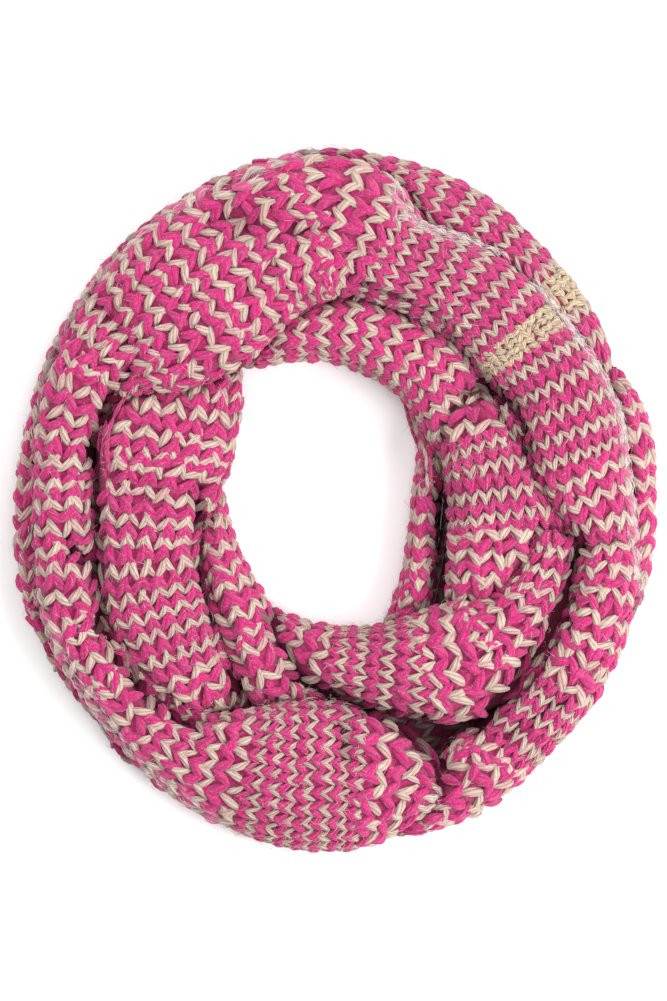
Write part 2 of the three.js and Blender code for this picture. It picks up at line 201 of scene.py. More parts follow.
# Lower layers follow the garment's outer edge: here x, y is a point of that edge.
EDGE_ROWS: dict[Route, list[tuple[float, ...]]] = {
    Route.UNDER_TURN: [
        (158, 20, 24, 30, 22, 0, 0),
        (166, 62, 26, 32, 22, 0, 0),
        (165, 92, 28, 34, 22, 0, 0),
        (150, 122, 30, 36, 22, 0, 0),
        (128, 149, 32, 38, 22, 0, 0),
        (99, 177, 34, 38, 22, 0, 0),
        (69, 195, 34, 37, 22, 0, 0),
        (38, 205, 32, 36, 22, 0, 0),
        (6, 211, 30, 34, 22, 0, 0),
        (-28, 208, 28, 32, 22, 0, 0),
        (-66, 194, 28, 33, 22, 0, 0),
        (-96, 179, 28, 34, 22, 0, 0),
        (-117, 163, 28, 35, 22, 0, 0),
        (-138, 142, 28, 35, 22, 0, 0),
        (-156, 116, 28, 34, 22, 0, 0),
        (-171, 89, 28, 33, 22, 0, 0),
        (-181, 60, 28, 32, 22, 0, 0),
        (-188, 30, 28, 32, 22, 0, 0),
        (-192, -6, 28, 31, 22, 0, 0),
        (-191, -42, 28, 30, 22, 0, 0),
        (-183, -72, 28, 29, 21, 0, 0),
        (-168, -100, 27, 28, 20, 0, 0),
        (-147, -130, 26, 27, 19, 0, 0),
        (-123, -157, 25, 26, 18, 0, 0),
        (-96, -178, 24, 24, 16, 0, 0),
        (-68, -194, 22, 20, 12, 0, 0),
    ],
    Route.RIGHT_RIM: [
        (150, -114, 20, 26, 18, 0, 0),
        (172, -84, 22, 32, 22, 0, 0),
        (185, -58, 24, 35, 22, 0, 0),
        (191, -28, 26, 37, 22, 0, 0),
        (192.2, 0, 26, 38, 22, 0, 0),
        (191, 36, 26, 37, 22, 0, 0),
        (183, 60, 24, 35, 22, 0, 0),
        (169, 80, 22, 31, 22, 0, 0),
        (152, 104, 20, 26, 18, 0, 0),
    ],
}


@dataclass(frozen=True)
class Fold:
    """A soft trough in the cloth from one point to another in plan, or a ridge where depth < 0.

    Attributes:
        start: One end, in millimetres.
        end: The other end, in millimetres.
        depth: How far the cloth drops in the middle of the trough, in millimetres.
        breadth: How far out the trough fades, in millimetres.
    """

    start: tuple[float, float]
    end: tuple[float, float]
    depth: float
    breadth: float

    def sag(self, x: np.ndarray, y: np.ndarray) -> np.ndarray:
        """Gives how far the cloth drops at points in plan.

        Args:
            x: The points' x, in millimetres.
            y: The points' y, in millimetres.

        Returns:
            The drop at each point, in millimetres.
        """
        run_x, run_y = self.end[0] - self.start[0], self.end[1] - self.start[1]
        share = ((x - self.start[0]) * run_x + (y - self.start[1]) * run_y) / (run_x**2 + run_y**2)
        share = np.clip(share, 0.0, 1.0)
        away = np.hypot(x - self.start[0] - share * run_x, y - self.start[1] - share * run_y)
        return self.depth * np.exp(-((away / self.breadth) ** 2))


FOLDS: dict[str, Fold] = {
    "left notch": Fold((-159, -34), (-140, -42), 7, 6),
    "top dent": Fold((-66, 166), (-27, 159), 5, 12),
    "top left dent": Fold((-141, 114), (-122, 93), 5, 9),
    "top soft crease": Fold((-51, 128), (-3, 119), 4, 9),
    "bottom dent": Fold((3, -134), (6, -154), 5, 7),
    "lower right crease": Fold((101, -143), (136, -121), 5, 7),
    "mid right hollow": Fold((95, 66), (106, 56), 9, 11),
    "mid right ridge": Fold((82, 8), (84, -50), -4, 9),
    "inner left pucker": Fold((-118, 3), (-82, 8), 4, 7),
    "right pinch": Fold((150, -32), (176, -26), 4, 9),
}


@dataclass(frozen=True)
class Streak:
    """A line on the cloth in plan. Along ridges a highlight is painted on it; along creases it sinks
    and painted shade darkens it.

    Attributes:
        line: The line, in millimetres.
        reach: How far to each side it fades, in millimetres.
        weight: How strong it is in the middle, 0 to 1.
    """

    line: tuple[tuple[float, float], ...]
    reach: float
    weight: float

    def nearness(self, points: np.ndarray) -> tuple[np.ndarray, np.ndarray, np.ndarray]:
        """Tells how much points belong to the line.

        Args:
            points: The points, in millimetres.

        Returns:
            The share of each point, 0 to the line's weight, the line's direction there, and the
            way in plan from the line to the point.
        """
        line = np.array(self.line, float)
        run = np.diff(line, axis=0)
        gap = points[:, None, :2] - line[None, :-1]
        share = np.clip((gap * run).sum(-1) / (run**2).sum(-1), 0.0, 1.0)
        off = gap - share[..., None] * run
        away = np.linalg.norm(off, axis=-1)
        nearest = away.argmin(1)
        way = run[nearest] / np.linalg.norm(run[nearest], axis=1, keepdims=True)
        nearness = self.weight * np.exp(-((away.min(1) / self.reach) ** 2))
        return nearness, way, off[np.arange(len(points)), nearest]


# Loose hairs gather along these ridges, and pale fuzz is painted on them as a highlight.
RIDGES: tuple[Streak, ...] = (
    Streak(((-12, 209), (-30, 201), (-54, 189), (-81, 180), (-111, 159), (-135, 135), (-153, 114),
            (-168, 84), (-177, 48), (-183, 0), (-183, -36), (-176, -60), (-156, -102), (-135, -132),
            (-111, -159), (-81, -183), (-57, -198)), 2.4, 0.75),
    Streak(((36, 188), (38, 170), (54, 162), (74, 155), (96, 148), (115, 137), (125, 120), (133, 114),
            (159, 72), (171, 48), (174, 12), (179, -36), (182, -60)), 3.0, 0.95),
)

# The cloth sinks along these, and painted shade darkens it there.
CREASES: tuple[Streak, ...] = (
    Streak(((-121, 78), (-132, 64), (-140, 51), (-148, 37)), 4.2, 0.85),
    Streak(((-147, 36), (-145, 12), (-143, -18), (-143, -39), (-141, -75)), 4.8, 1.0),
    Streak(((-142, -39), (-150, -34), (-158, -26)), 5.0, 1.0),
    Streak(((-140, -75), (-132, -93), (-123, -106), (-111, -119), (-93, -132), (-83, -135)), 4.8, 0.95),
    Streak(((-83, -135), (-57, -124), (-27, -120)), 2.6, 0.65),
    Streak(((-24, -108), (-8, -114), (6, -120), (24, -128), (39, -131)), 7.0, 1.0),
    Streak(((27, -127), (46, -144), (54, -155), (63, -169)), 4.2, 0.85),
    Streak(((-82, 6), (-81, -48), (-75, -68), (-66, -84), (-60, -120)), 4.5, 0.85),
    Streak(((-42, -72), (-33, -87), (-23, -103), (-10, -114)), 4.8, 0.85),
    Streak(((50, -132), (78, -136), (87, -137), (98, -120), (111, -105), (126, -84), (132, -72),
            (142, -45), (147, -25)), 6.7, 1.0),
    Streak(((12, 131), (40, 120), (61, 111), (72, 97), (81, 84)), 2.8, 0.7),
    Streak(((81, 84), (96, 67), (108, 55), (114, 40), (117, 24)), 4.5, 0.85),
    Streak(((117, 24), (126, 6), (135, -8), (144, -18)), 2.6, 0.7),
    Streak(((58, -146), (67, -160)), 6.0, 1.0),
    Streak(((64, 9), (62, -24), (61, -60)), 6.3, 1.0),
    Streak(((88, 70), (103, 60)), 6.0, 1.0),
    Streak(((-51, 129), (-21, 121), (-3, 120), (26, 126)), 3.0, 0.45),
    Streak(((-66, 168), (-50, 163)), 7.0, 0.55),
    Streak(((-141, 114), (-122, 93)), 4.0, 0.4),
    Streak(((-27, 160), (-12, 163)), 4.0, 0.45),
    Streak(((3, -136), (6, -152)), 4.0, 0.6),
    Streak(((101, -143), (136, -121)), 3.0, 0.4),
)


@dataclass(frozen=True)
class Edging:
    """Yarn that runs lengthwise along an edge of the cloth.

    Attributes:
        node: The solid whose cloth it edges.
        line: Where it runs in plan, in millimetres.
        yarns: Its strands side by side, by colour.
        thick: The thickness of each.
        clear: How far to each side it takes the place of the stitches.
    """

    node: str
    line: tuple[tuple[float, float], ...]
    yarns: tuple[Yarn, ...]
    thick: float
    clear: float


EDGINGS: tuple[Edging, ...] = (
    Edging("inner_left", ((-116, 78), (-125, 68), (-132, 56), (-138, 42), (-139, 29), (-137, 14)),
           (Yarn.MAGENTA, Yarn.MAGENTA, Yarn.MAGENTA), 3.0, 4.6),
    Edging("right_inner_edge", ((44, 62), (48, 45), (55, 27), (56, 8)),
           (Yarn.MAGENTA, Yarn.BEIGE, Yarn.MAGENTA), 2.6, 0.0),
)


@dataclass(frozen=True)
class Gauge:
    """How the knit is stretched: the size and pitch of its stitches, in millimetres.

    Attributes:
        wale: The width of one stitch.
        course: The pitch of the courses.
        reach: How far a leg runs along the cloth, as a share of the pitch.
        thick: The yarn's thickness.
        light: How thick the light yarns look beside that.
        loose: How far the legs turn out of line at random, in radians.
    """

    wale: float
    course: float
    reach: float
    thick: float
    light: float
    loose: float


class Knit(Enum):
    """The gauges that show."""

    FINE = Gauge(8.1, 7.1, 1.0, 4.2, 0.88, 0.08)
    TIGHT = Gauge(9.0, 5.2, 1.2, 4.0, 0.88, 0.08)
    EVEN = Gauge(9.7, 7.0, 1.02, 5.0, 0.86, 0.08)
    MIDDLE = Gauge(11.0, 7.0, 1.08, 5.5, 0.94, 0.12)
    LARGE = Gauge(12.6, 6.8, 1.12, 5.7, 1.0, 0.22)
    SEAM = Gauge(6.6, 4.4, 0.8, 4.4, 0.95, 0.45)


@dataclass(frozen=True)
class Stretch:
    """A stretch of cloth that shows.

    Attributes:
        node: The solid that it stands for.
        route: The path that it follows.
        start: Where it begins, in rows of the path.
        end: Where it ends, in rows of the path.
        layer: Its place in the pile, 0 for the uppermost run.
        bands: The gauges along it, each with the row where it ends.
    """

    node: str
    route: Route
    start: float
    end: float
    layer: int
    bands: tuple[tuple[float, Knit], ...]


STRETCHES: tuple[Stretch, ...] = (
    Stretch("right_turn", Route.LONG_TURN, 7.4, 11.8, 0, ((9.5, Knit.MIDDLE), (11.8, Knit.FINE))),
    Stretch("joined_band", Route.LONG_TURN, 11.8, 12.3, 0, ((12.3, Knit.SEAM),)),
    Stretch("top_turn", Route.LONG_TURN, 12.3, 22.0, 0, ((15.6, Knit.FINE), (22.0, Knit.LARGE))),
    Stretch("left_turn", Route.LONG_TURN, 22.0, 29.5, 0, ((29.5, Knit.LARGE),)),
    Stretch("bottom_turn", Route.LONG_TURN, 29.5, 36.0, 0,
            ((31.3, Knit.MIDDLE), (33.4, Knit.TIGHT), (36.0, Knit.LARGE))),
    Stretch("inner_left", Route.INNER_LEFT, 0.0, 8.0, 1,
            ((3.4, Knit.LARGE), (4.6, Knit.MIDDLE), (6.4, Knit.EVEN), (8.0, Knit.LARGE))),
    Stretch("innermost_left", Route.INNERMOST_LEFT, 0.0, 7.0, 2, ((7.0, Knit.MIDDLE),)),
    Stretch("bottom_inner", Route.BOTTOM_INNER, 0.0, 8.0, 3,
            ((2.0, Knit.MIDDLE), (4.0, Knit.FINE), (8.0, Knit.LARGE))),
    Stretch("right_lower", Route.LONG_TURN, 0.0, 7.4, 4,
            ((3.0, Knit.LARGE), (4.4, Knit.FINE), (7.4, Knit.LARGE))),
    Stretch("mid_right", Route.MID_RIGHT, 0.0, 6.0, 5,
            ((2.0, Knit.LARGE), (4.3, Knit.FINE), (6.0, Knit.LARGE))),
    Stretch("top_inner", Route.TOP_INNER, 0.0, 8.0, 6, ((8.0, Knit.MIDDLE),)),
    Stretch("right_inner_edge", Route.RIGHT_INNER_EDGE, 0.0, 6.0, 7, ((6.0, Knit.MIDDLE),)),
    Stretch("under_top_right", Route.UNDER_TURN, 0.0, 9.0, 8,
            ((2.9, Knit.FINE), (3.6, Knit.SEAM), (9.0, Knit.FINE))),
    Stretch("under_left", Route.UNDER_TURN, 9.0, 25.0, 8, ((25.0, Knit.LARGE),)),
    Stretch("right_rim", Route.RIGHT_RIM, 0.0, 8.0, 9, ((8.0, Knit.LARGE),)),
)


def blend(before: np.ndarray, start: np.ndarray, end: np.ndarray, after: np.ndarray,
          share: float) -> np.ndarray:
    """Interpolates smoothly between two rows of a table.

    Args:
        before: The row before start.
        start: The row at share 0.
        end: The row at share 1.
        after: The row after end.
        share: The place between start and end.

    Returns:
        The row at that place.
    """
    cubic = -before + 3 * start - 3 * end + after
    square = 2 * before - 5 * start + 4 * end - after
    return start + share * (end - before + share * (square + share * cubic)) / 2


class ClothPath:
    """A smooth path through the rows of a table, measured along its length in millimetres."""

    def __init__(self, rows: list[tuple[float, ...]], follows_edge: bool) -> None:
        """Smooths and measures the path.

        Args:
            rows: The table, one section a row.
            follows_edge: True if the rows lie on the outer edge of the cloth and not its middle.
        """
        self.samples = self._smooth(np.array(rows, float))
        self._measure()
        if follows_edge:
            inward = self.heading(self.along)
            self.samples[:, :2] += inward * self.samples[:, Column.HALF, None]
            self._measure()

    @staticmethod
    def _smooth(rows: np.ndarray) -> np.ndarray:
        last = len(rows) - 1
        samples = []
        for row in range(last):
            near = [rows[min(max(index, 0), last)] for index in (row - 1, row, row + 1, row + 2)]
            samples += [blend(*near, step / SAMPLES_PER_ROW) for step in range(SAMPLES_PER_ROW)]
        return np.array(samples + [rows[-1]])

    def _measure(self) -> None:
        steps = np.hypot(*np.diff(self.samples[:, :2], axis=0).T)
        self.along = np.concatenate(([0.0], np.cumsum(steps)))

    def place_of_row(self, row: float) -> float:
        """Gives how far along the path a row is.

        Args:
            row: The row, counted from 0, with its share of the way to the next.

        Returns:
            The distance from the path's start, in millimetres.
        """
        return float(self.along[round(row * SAMPLES_PER_ROW)])

    def at(self, along: np.ndarray) -> np.ndarray:
        """Gives the sections at places along the path, carried on straight past its ends.

        Args:
            along: The distances from the path's start, in millimetres.

        Returns:
            One row of the table for each place.
        """
        along = np.asarray(along, float)
        place = np.clip(along, 0.0, self.along[-1])
        found = np.stack([np.interp(place, self.along, self.samples[:, c]) for c in Column], -1)
        for end, (near, far) in {0: (0, 1), -1: (-1, -2)}.items():
            way = self.samples[near, :2] - self.samples[far, :2]
            beyond = np.abs(along - place) / np.hypot(*way)
            there = (place == self.along[end])[..., None]
            found[..., :2] += np.where(there, beyond[..., None] * way, 0.0)
        bases = slice(Column.BASE_IN, Column.BASE_OUT + 1)
        found[..., bases] = np.maximum(found[..., bases], 0.0)
        return found

    def heading(self, along: np.ndarray) -> np.ndarray:
        """Gives the unit direction across the cloth, towards the hole.

        Args:
            along: The distances from the path's start, in millimetres.

        Returns:
            The direction in plan at each place.
        """
        way = self.at(along + TANGENT_REACH)[..., :2] - self.at(along - TANGENT_REACH)[..., :2]
        way /= np.linalg.norm(way, axis=-1, keepdims=True)
        return np.stack([-way[..., 1], way[..., 0]], -1)


class ClothSurface:
    """The face of the cloth over a stretch of path, as a grid of even steps along and across it."""

    ALONG_STEP = 3.0
    ACROSS_STEPS = 56
    ARCH_STEPS = 60
    CURL_STEPS = 10

    def __init__(self, path: ClothPath, start: float, end: float) -> None:
        """Lays the grid.

        Args:
            path: The path of the cloth.
            start: Where the stretch begins along the path, in millimetres.
            end: Where it ends, in millimetres.
        """
        self.path, self.start, self.end = path, start, end
        count = max(3, round((end - start) / self.ALONG_STEP))
        self.stops = np.linspace(start, end, count + 1)
        raw = self.section(self.stops)
        steps = np.linalg.norm(np.diff(raw, axis=1), axis=-1)
        lengths = np.concatenate([np.zeros((len(raw), 1)), np.cumsum(steps, 1)], 1)
        self.widths = lengths[:, -1]
        shares = np.linspace(0.0, 1.0, self.ACROSS_STEPS + 1)
        self.points = np.stack([
            np.stack([np.interp(shares * width, length, line[:, axis]) for axis in range(3)], -1)
            for line, length, width in zip(raw, lengths, self.widths)])
        self._face()

    def _face(self) -> None:
        self.along_way = self._unit(np.gradient(self.points, axis=0))
        across = self._unit(np.gradient(self.points, axis=1))
        self.normals = self._unit(np.cross(self.along_way, across))

    @staticmethod
    def _unit(vectors: np.ndarray) -> np.ndarray:
        return vectors / np.maximum(np.linalg.norm(vectors, axis=-1, keepdims=True), 1e-9)

    def sink(self, drop: np.ndarray) -> None:
        """Lowers the cloth.

        Args:
            drop: How far each point of the grid drops, in millimetres.
        """
        self.points[..., 2] -= drop
        self._face()

    def section(self, along: np.ndarray, inset: float = 0.0) -> np.ndarray:
        """Works out sections of the cloth: a full arch over two edges that curl in under it.

        Args:
            along: The distances from the path's start, in millimetres.
            inset: How far inside the face the section lies, in millimetres.

        Returns:
            The points of each section, from the outer foot over the arch to the inner one.
        """
        rows = self.path.at(along)
        inward = self.path.heading(along)
        half = np.maximum(rows[:, Column.HALF] - inset, LEAST_HALF)[:, None]
        top = rows[:, Column.TOP][:, None]
        sides = []
        for side, column in ((-1, Column.BASE_OUT), (1, Column.BASE_IN)):
            base = rows[:, column][:, None]
            curl = np.minimum(CURL_SHARE * (top - base), CURL_OF_HALF * rows[:, Column.HALF][:, None])
            sides.append((side, curl, base + curl))
        across, height = [], []
        for side, curl, shoulder in (sides[0],):
            angle = np.linspace(0.0, 0.5 * math.pi, self.CURL_STEPS + 1)[None, :-1]
            radius = np.maximum(curl - inset, 0.0)
            across.append(side * (half - radius * (1 - np.sin(angle))))
            height.append(shoulder - radius * np.cos(angle))
        turn = math.pi * (1 - np.linspace(0.0, 1.0, self.ARCH_STEPS + 1)[None, :])
        wide = np.sign(np.cos(turn)) * np.abs(np.cos(turn)) ** (2 / ARCH_FULLNESS)
        high = np.abs(np.sin(turn)) ** (2 / ARCH_FULLNESS)
        shoulder = np.where(wide > 0, sides[1][2], sides[0][2])
        over = half * wide
        x = rows[:, Column.X][:, None] + inward[:, 0, None] * over
        y = rows[:, Column.Y][:, None] + inward[:, 1, None] * over
        sag = sum(fold.sag(x, y) for fold in FOLDS.values())
        rise = top - shoulder - inset + rows[:, Column.TILT][:, None] * wide - sag
        across.append(over)
        height.append(shoulder + high * np.maximum(rise, LEAST_RISE))
        side, curl, shoulder = sides[1]
        angle = np.linspace(0.5 * math.pi, 0.0, self.CURL_STEPS + 1)[None, 1:]
        radius = np.maximum(curl - inset, 0.0)
        across.append(side * (half - radius * (1 - np.sin(angle))))
        height.append(shoulder - radius * np.cos(angle))
        over, z = np.concatenate(across, 1), np.concatenate(height, 1)
        return np.stack([rows[:, Column.X][:, None] + inward[:, 0, None] * over,
                         rows[:, Column.Y][:, None] + inward[:, 1, None] * over, z], -1)

    def sample(self, grid: np.ndarray, along: np.ndarray, across: np.ndarray) -> np.ndarray:
        """Reads a grid of vectors between its points.

        Args:
            grid: The grid: points, normals or along_way.
            along: Distances along the path, in millimetres.
            across: Shares of the width, from the outer foot at 0 to the inner one at 1.

        Returns:
            A vector for each place.
        """
        rows, columns = grid.shape[0] - 1, grid.shape[1] - 1
        i = np.clip((along - self.start) / (self.end - self.start), 0.0, 1.0) * rows
        j = np.clip(across, 0.0, 1.0) * columns
        i0, j0 = np.minimum(i.astype(int), rows - 1), np.minimum(j.astype(int), columns - 1)
        fi, fj = (i - i0)[:, None], (j - j0)[:, None]
        return ((grid[i0, j0] * (1 - fi) + grid[i0 + 1, j0] * fi) * (1 - fj)
                + (grid[i0, j0 + 1] * (1 - fi) + grid[i0 + 1, j0 + 1] * fi) * fj)

    def width_at(self, along: np.ndarray) -> np.ndarray:
        """Gives the length of the section round its arch.

        Args:
            along: Distances along the path, in millimetres.

        Returns:
            The length at each place, in millimetres.
        """
        return np.interp(along, self.stops, self.widths)


@dataclass(frozen=True)
class Cover:
    """The space that a run of cloth takes in the pile, to tell what lies under it.

    Attributes:
        path: The run's path.
        start: Where the run begins along it, in millimetres.
        end: Where it ends, in millimetres.
        layer: Its place in the pile.
    """

    path: ClothPath
    start: float
    end: float
    layer: int

    def depth_of(self, points: np.ndarray) -> np.ndarray:
        """Tells how deep points lie under the run's arch.

        Args:
            points: The points, in millimetres.

        Returns:
            The depth of each below the arch, and a negative number outside it.
        """
        row, across, astray, _ = self._nearest(points)
        base = np.where(across > 0, row[:, Column.BASE_IN], row[:, Column.BASE_OUT])
        curl = np.minimum(CURL_SHARE * (row[:, Column.TOP] - base),
                          CURL_OF_HALF * row[:, Column.HALF])
        shoulder = base + curl
        inside = np.clip(1 - np.abs(across) ** ARCH_FULLNESS, 0.0, 1.0) ** (1 / ARCH_FULLNESS)
        sag = sum(fold.sag(points[:, 0], points[:, 1]) for fold in FOLDS.values())
        rise = row[:, Column.TOP] - shoulder + row[:, Column.TILT] * across - sag
        depth = shoulder + inside * rise - points[:, 2]
        out = (np.abs(across) >= 1) | (astray > 4.0) | (points[:, 2] < base - 1.0)
        return np.where(out, -1.0, depth)

    def gap_to(self, points: np.ndarray, carried_on: bool) -> np.ndarray:
        """Tells how far in plan points are from the run.

        Args:
            points: The points, in millimetres.
            carried_on: True to leave out what lies past the run's ends, where its cloth carries on.

        Returns:
            The distance of each, 0 under the run.
        """
        row, across, astray, at_end = self._nearest(points)
        beside = np.maximum(np.abs(across) - 1, 0.0) * row[:, Column.HALF]
        gap = np.hypot(beside, np.maximum(astray - 4.0, 0.0))
        return np.where(at_end & carried_on, np.inf, gap)

    def _nearest(self, points: np.ndarray) -> tuple[np.ndarray, ...]:
        """Finds the section by each point, its place across it, how far astray and if at an end."""
        stops = np.linspace(self.start, self.end, max(4, round((self.end - self.start) / 2.5)))
        rows, inward = self.path.at(stops), self.path.heading(stops)
        gap = points[:, None, :2] - rows[None, :, :2]
        nearest = np.argmin((gap**2).sum(-1), 1)
        row, inward = rows[nearest], inward[nearest]
        gap = gap[np.arange(len(points)), nearest]
        across = (gap * inward).sum(-1) / row[:, Column.HALF]
        astray = np.abs(gap[:, 0] * inward[:, 1] - gap[:, 1] * inward[:, 0])
        return row, across, astray, (nearest == 0) | (nearest == len(stops) - 1)


@dataclass(frozen=True)
class YarnFinish:
    """How the yarn looks.

    Attributes:
        magenta: Colour of the magenta yarn, linear.
        beige: Colour of the beige yarn, linear.
        cream: Colour of the cream yarn, linear.
        shade: Colour of painted shade in the grooves between the plies and between the drawn stitches;
            also the low end of the yarn's random tone and of the ground's mottling.
        haze: Colour of the pink hairs that lie over the beige.
        pale_fuzz_highlight: Colour of pale fuzz, painted as a highlight on the fold ridges and mixed
            into the hairs' random tone.
        crease_shade: Painted shade: what the colours are multiplied by in the creases and beside runs
            that lie over them.
        roughness: Roughness of the fibres.
        sheen: Weight of the soft sheen of the hairs.
        plies: How many plies show round a leg.
        twist: How many turns the plies make along a leg.
    """

    magenta: tuple[float, float, float, float] = (0.53, 0.014, 0.155, 1.0)
    beige: tuple[float, float, float, float] = (0.58, 0.485, 0.38, 1.0)
    cream: tuple[float, float, float, float] = (0.64, 0.52, 0.33, 1.0)
    shade: tuple[float, float, float, float] = (0.26, 0.010, 0.070, 1.0)
    haze: tuple[float, float, float, float] = (0.60, 0.14, 0.28, 1.0)
    pale_fuzz_highlight: tuple[float, float, float, float] = (0.70, 0.60, 0.59, 1.0)
    crease_shade: tuple[float, float, float, float] = (0.07, 0.03, 0.045, 1.0)
    roughness: float = 0.95
    sheen: float = 0.2
    plies: float = 5.0
    twist: float = 0.1


class Shading:
    """Small helpers that build shader trees."""

    def __init__(self, tree: bpy.types.NodeTree) -> None:
        """Starts on a tree.

        Args:
            tree: The tree to add to.
        """
        self.tree = tree

    def node(self, kind: str, **settings: object) -> bpy.types.Node:
        """Adds a node.

        Args:
            kind: The node's type.
            **settings: Properties to set on it.

        Returns:
            The node.
        """
        made = self.tree.nodes.new(kind)
        for name, value in settings.items():
            setattr(made, name, value)
        return made

    def link(self, value: object, socket: bpy.types.NodeSocket) -> None:
        """Sets a socket or links to it.

        Args:
            value: A socket to link from, or a value.
            socket: The socket that takes it.
        """
        if isinstance(value, bpy.types.NodeSocket):
            self.tree.links.new(value, socket)
        else:
            socket.default_value = value

    def math(self, operation: str, *values: object, clamp: bool = False) -> bpy.types.NodeSocket:
        """Adds a Math node.

        Args:
            operation: Its operation.
            *values: Its inputs, sockets or numbers.
            clamp: True to keep the result between 0 and 1.

        Returns:
            Its result.
        """
        made = self.node("ShaderNodeMath", operation=operation, use_clamp=clamp)
        for value, socket in zip(values, made.inputs):
            self.link(value, socket)
        return made.outputs[0]

    def mix(self, share: object, one: object, other: object,
            blend_type: str = "MIX") -> bpy.types.NodeSocket:
        """Mixes two colours.

        Args:
            share: How much of the other colour.
            one: The first colour.
            other: The other colour.
            blend_type: How they mix.

        Returns:
            The mixed colour.
        """
        made = self.node("ShaderNodeMix", data_type="RGBA", blend_type=blend_type)
        for value, socket in zip((share, one, other),
                                 (made.inputs[0], made.inputs[6], made.inputs[7])):
            self.link(value, socket)
        return made.outputs[2]

    def noise(self, vector: object, scale: float, detail: float = 2.0,
              roughness: float = 0.5) -> bpy.types.NodeSocket:
        """Adds a noise.

        Args:
            vector: The coordinates to read.
            scale: Its scale.
            detail: Its octaves.
            roughness: How strong the finer octaves are.

        Returns:
            The noise, about 0 to 1.
        """
        made = self.node("ShaderNodeTexNoise")
        self.link(vector, made.inputs["Vector"])
        made.inputs["Scale"].default_value = scale
        made.inputs["Detail"].default_value = detail
        made.inputs["Roughness"].default_value = roughness
        return made.outputs[0]


